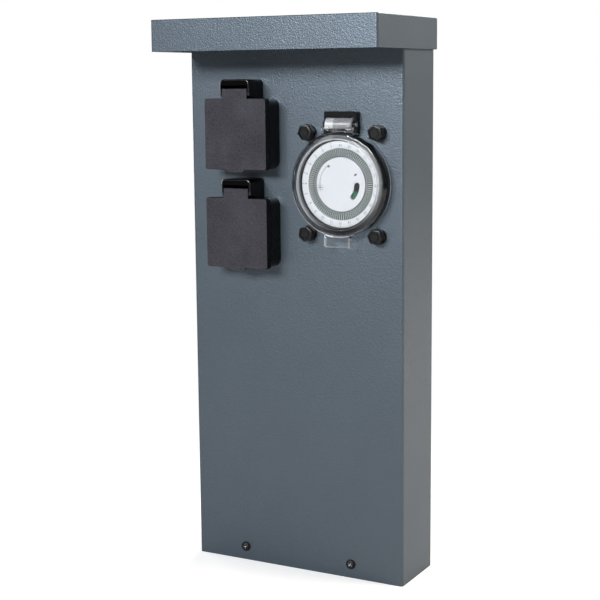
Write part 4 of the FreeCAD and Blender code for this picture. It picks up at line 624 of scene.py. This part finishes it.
spindle_bore, hub, ring_inner, dial_rim = 0.00255, 0.005, 0.0249, 0.0302
hub_rear, disc_rear, disc_front, ring_front = -0.0013, 0.0008, 0.0022, 0.0060
chamfer, dish_steps, scallop = 0.0004, 288, 0.990
dish = bmesh.new()
lathe(dish, [(spindle_bore, hub_rear), (hub, hub_rear), (hub, disc_rear), (dial_rim - chamfer, disc_rear),
             (dial_rim, disc_rear + chamfer), (dial_rim, ring_front - chamfer),
             (dial_rim - 0.0002, ring_front - 0.00015), (dial_rim - 0.0005, ring_front),
             (ring_inner + chamfer, ring_front), (ring_inner + 0.0001, ring_front - 0.0001),
             (ring_inner, ring_front - 0.0003), (ring_inner, disc_front), (spindle_bore, disc_front)],
      dish_steps)
for vertex in dish.verts:
    step = round(math.degrees(math.atan2(vertex.co.y, vertex.co.x)) * dish_steps / 360)
    if step % 2 and math.hypot(vertex.co.x, vertex.co.y) > dial_rim - 0.0001:
        vertex.co.xy *= scallop
smooth(dish)
piece("dial_dish", on_face(dish, 0.0), dial_white, "dial_body", "dial_white", "dial")

# The printing on the dial. Grey ink on the number ring: a tick for each quarter of an hour, a longer
# one for each hour, and the hours from 1 to 24 against the way that the dial turns.

ink_thick = 0.00003


def ink(name, colour):
    """Screen printed ink: a little uneven, and duller than the plastic under it."""
    print_ink = Finish(name)
    patchy = print_ink.grain(0.4)
    return print_ink.surface({"Base Color": print_ink.blend(patchy, colour, shade(colour, 1.35, 0.02)),
                              "Roughness": 0.5 + 0.2 * patchy})


def bar(mesh, across, along, radius, turn, centre=(0, 0)):
    """A thin printed bar at a radius, turned round a centre by an angle in degrees."""
    block = bmesh.ops.create_cube(mesh, size=1.0)["verts"]
    bmesh.ops.scale(mesh, verts=block, vec=(along, across, ink_thick))
    bmesh.ops.translate(mesh, verts=block, vec=(radius, 0, ink_thick / 2))
    spun(mesh, block, turn)
    bmesh.ops.translate(mesh, verts=block, vec=(*centre, 0))


ticks = bmesh.new()
for quarter in range(quarters):
    across, along, radius = (0.00016, 0.0007, 0.0294) if quarter % 4 else (0.00026, 0.0013, 0.0291)
    bar(ticks, across, along, radius, quarter * 360 / quarters)
piece("dial_ticks", on_face(ticks, ring_front), ink("tick_ink", tone(88, 96, 106)), "dial_body", "dial_white")

hour_size, hour_radius = 0.0024, 0.0269
hours = bmesh.new()
for hour in range(1, 25):
    words = bpy.data.curves.new("hour", "FONT")
    words.body = str(hour)
    words.size = hour_size
    words.align_x = "CENTER"
    words.align_y = "CENTER"
    words.extrude = ink_thick / 2
    letters = bpy.data.objects.new("hour", words)
    scene.collection.objects.link(letters)
    flat = bpy.data.meshes.new_from_object(letters.evaluated_get(bpy.context.evaluated_depsgraph_get()))
    before = len(hours.verts)
    hours.from_mesh(flat)
    hours.verts.ensure_lookup_table()
    fresh = hours.verts[before:]
    bmesh.ops.translate(hours, verts=fresh, vec=(0, hour_radius, ink_thick / 2))
    spun(hours, fresh, hour * 360 / 24)
    bpy.data.objects.remove(letters)
    bpy.data.curves.remove(words)
    bpy.data.meshes.remove(flat)
piece("dial_hours", on_face(hours, ring_front), ink("hour_ink", tone(84, 92, 102)), "dial_body", "dial_white")

# The centre plate. A fixed white disc before the dial, printed with an arc that ends in a dot, a
# small ring of rays and a mark, and cut by the curved slot of the on and off slide.

dress("centre_plate", moulded("plate_white", tone(243, 245, 252), 0.28, size=0.5, depth=0.01, spread=0.02))
dress("mode_slide", moulded("slide_green", tone(46, 112, 82), 0.4))
dress("mode_knob", moulded("knob_black", tone(24, 24, 26), 0.3))

plate_front = 0.0054
arc_radius, arc_start, arc_step, arc_bars = 0.0162, 129, 1.42, 40
arc_end, sun = (-0.0093, 0.0124), (-0.0160, -0.0024)
plate_marks = bmesh.new()
for step in range(arc_bars):
    bar(plate_marks, 0.00046, 0.00026, arc_radius, arc_start + step * arc_step)
for ray in range(8):
    bar(plate_marks, 0.00042, 0.0010, 0.0020, ray * 45, sun)
for (dot_x, dot_y), dot_radius in ((sun, 0.0007), (arc_end, 0.0009)):
    bmesh.ops.create_cone(plate_marks, segments=24, radius1=dot_radius, radius2=dot_radius, depth=ink_thick,
                          cap_ends=True, matrix=Matrix.Translation((dot_x, dot_y, ink_thick / 2)))
bar(plate_marks, 0.0011, 0.0021, 0.0133, 31)
piece("plate_print", on_face(plate_marks, plate_front), ink("print_dark", tone(70, 72, 76)), "housing",
      "plate_white")

# The clear cover. Polished polycarbonate with a raised window, hinged above by a knuckle on two arms
# and opened by a thin tab with two ribs below. Its edges are rounded in the mould.

window_inner, window_outer, window_rear, window_front = 0.0301, 0.0316, 0.0105, 0.0120
shelf_rear, shelf_front, shelf_inner, shelf_outer = 0.0093, 0.0108, 0.0338, 0.0346
wall_inner, wall_outer, wall_foot, wall_rear, wall_front = 0.0349, 0.0365, 0.0004, 0.0082, 0.0090
shell = bmesh.new()
lathe(shell, [(0, window_rear), (window_inner, window_rear), (window_inner, shelf_rear),
              (shelf_inner, shelf_rear), (wall_inner, wall_rear), (wall_inner, wall_foot),
              (wall_outer, wall_foot), (wall_outer, wall_front), (shelf_outer, shelf_front),
              (window_outer, shelf_front), (window_outer, window_front), (0, window_front)],
      160, close=False)
rims = [edge for edge in shell.edges if edge.calc_face_angle(0) > 0.4
        and abs(edge.verts[0].co.z - edge.verts[1].co.z) < 1e-6]
bmesh.ops.bevel(shell, geom=rims, offset=0.00045, offset_type="OFFSET", affect="EDGES", segments=3,
                profile=0.5, material=-1)


def rounded_block(low, high, edge):
    """A block between two corners, its edges rounded."""
    block = bmesh.new()
    bmesh.ops.create_cube(block, size=1.0)
    bmesh.ops.scale(block, verts=block.verts, vec=Vector(high) - Vector(low))
    bmesh.ops.translate(block, verts=block.verts, vec=(Vector(high) + Vector(low)) / 2)
    bmesh.ops.bevel(block, geom=list(block.edges), offset=edge, offset_type="OFFSET", affect="EDGES",
                    segments=2, profile=0.5, material=-1)
    return block


def on_left(low, high):
    """The corners of the same block on the left."""
    return (-high[0], *low[1:]), (-low[0], *high[1:])


pin_radius, barrel_radius, barrel_half, barrel_edge = 0.00165, 0.0046, 0.0099, 0.0004
barrel_up, barrel_forward = 0.0412, 0.0060
barrel = bmesh.new()
lathe(barrel, [(pin_radius, -barrel_half), (barrel_radius - barrel_edge, -barrel_half),
               (barrel_radius, barrel_edge - barrel_half), (barrel_radius, barrel_half - barrel_edge),
               (barrel_radius - barrel_edge, barrel_half), (pin_radius, barrel_half)], 64)
bmesh.ops.rotate(barrel, verts=barrel.verts, cent=(0, 0, 0), matrix=Matrix.Rotation(math.pi / 2, 3, "Y"))
bmesh.ops.translate(barrel, verts=barrel.verts, vec=(0, barrel_up, barrel_forward))
arm = ((0.0065, 0.0336, 0.0090), (0.0123, 0.0397, 0.0108))
finger_tab = ((-0.0101, -0.0436, 0.0094), (0.0101, -0.0350, 0.0108))
rib = ((0.0087, -0.0428, 0.0098), (0.0101, -0.0350, 0.0120))
for low, high in (arm, on_left(*arm), finger_tab, rib, on_left(*rib)):
    shell = combined(shell, rounded_block(low, high, 0.0004), "UNION")
shell = combined(shell, barrel, "UNION")
smooth(shell, 40)
for face in shell.faces:
    face.smooth = abs(face.normal.z) < 0.999

clear = Finish("clear_polycarbonate")
smear = clear.grain(9, 3.0)
polish = clear.grain(3)
mottle = clear.grain(2.0)
across = clear.along("X") - axis_x
up = clear.along("Z") - axis_z
forward = front_face - clear.along("Y")
from_axis = (across * across + up * up).power(0.5)


def band(inner, outer):
    """1 between two distances from the cover's axis, or else 0."""
    return from_axis.over(inner) * from_axis.under(outer)


# Where the cover's parts lie, and how far a point is to the right or below.
window = from_axis.under(0.0302)
wall = band(0.0347, 0.0366)
knuckle = up.over(0.0385) * across.size().under(0.0102)
ribs = across.size().over(0.0086) * up.under(-0.0367)
lip = up.under(-0.0431)
to_right = (across + 0.6 * up).rise(-0.012, 0.024)
below = (0.35 * across - up).rise(0.004, 0.034)

# Painted light on the rim: painted reflections of a dark room in some rings, painted highlights in others.
painted_dark_ring = band(0.0341, 0.0348)
skin = band(0.0359, 0.0367) * (1.0 - below)
crescent = band(0.0304, 0.0345) * below
smear_and_painted_dark_reflection = 0.1 * smear + 0.85 * wall * to_right + 0.9 * crescent + 0.3 * skin + 0.5 * painted_dark_ring
step_edge = band(0.0308, 0.0320) * (1.0 - below)
shoulder = band(0.0320, 0.0343) * to_right
foot = band(0.0357, 0.0367) * forward.under(0.0026) * to_right
glint = band(0.0357, 0.0367) * forward.over(0.0078) * (-0.6 * across - up).over(0.027)
# Painted highlights: white on the knuckle, ribs, tab lip and the rings that catch light, most on the right
# rib.
painted_highlight_share = (0.6 * knuckle + 0.35 * ribs + 0.3 * ribs * across.over(0.0) + 0.12 * lip + 0.2 * shoulder
         + 0.35 * step_edge + 0.8 * foot + 0.9 * glint)

# The rim, arms and tab refract. The window is a plain clear sheet with a gloss, and light that has
# bounced, or makes a shadow, goes straight through it all, so that the white dial doesn't clip.
# The glass's base colour carries the painted dark reflections and shade of the rim, over a faint smear.
glass = clear.node("ShaderNodeBsdfPrincipled", {}, {
    "Base Color": clear.blend(smear_and_painted_dark_reflection, (0.97, 0.98, 0.98, 1), (0.03, 0.03, 0.035, 1)),
    "Roughness": 0.01 + 0.03 * smear + 0.15 * knuckle + 0.1 * ribs,
    "IOR": 1.50,
    "Transmission Weight": 1.0,
    "Normal": clear.relief(polish, 0.004, 0.3)})
# Painted highlight: a white shader, lighter left of the axis and mottled, laid by the share above.
painted_highlight_white = clear.node("ShaderNodeBsdfPrincipled", {}, {
    "Base Color": clear.blend(across.under(-0.0035) * 0.8 + 0.25 * mottle,
                              tone(150, 152, 158), tone(236, 238, 242)),
    "Roughness": 0.3})
thin = clear.node("ShaderNodeBsdfTransparent", {}, {"Color": (0.985, 0.99, 0.99, 1)})
thick = clear.node("ShaderNodeBsdfTransparent", {}, {"Color": (0.3, 0.32, 0.33, 1)})
mirror = clear.node("ShaderNodeBsdfAnisotropic", {}, {"Color": (1, 1, 1, 1), "Roughness": 0.03})
facing = clear.node("ShaderNodeLayerWeight", {}, {}, "Facing")
pane = clear.mix(0.04 + 0.9 * facing.power(5.0), thin, mirror)
seen_cover = clear.mix(window, clear.mix(painted_highlight_share, glass, painted_highlight_white), pane)
let_through = clear.mix(0.8 * (ribs + wall), thin, thick)
passes = clear.ray("Is Shadow Ray") + clear.ray("Diffuse Depth").over(0.5)
piece("clear_cover", on_face(shell, 0.0), clear.end(clear.mix(passes, seen_cover, let_through)),
      "cover_body", "clear_plastic", "timer_cover")
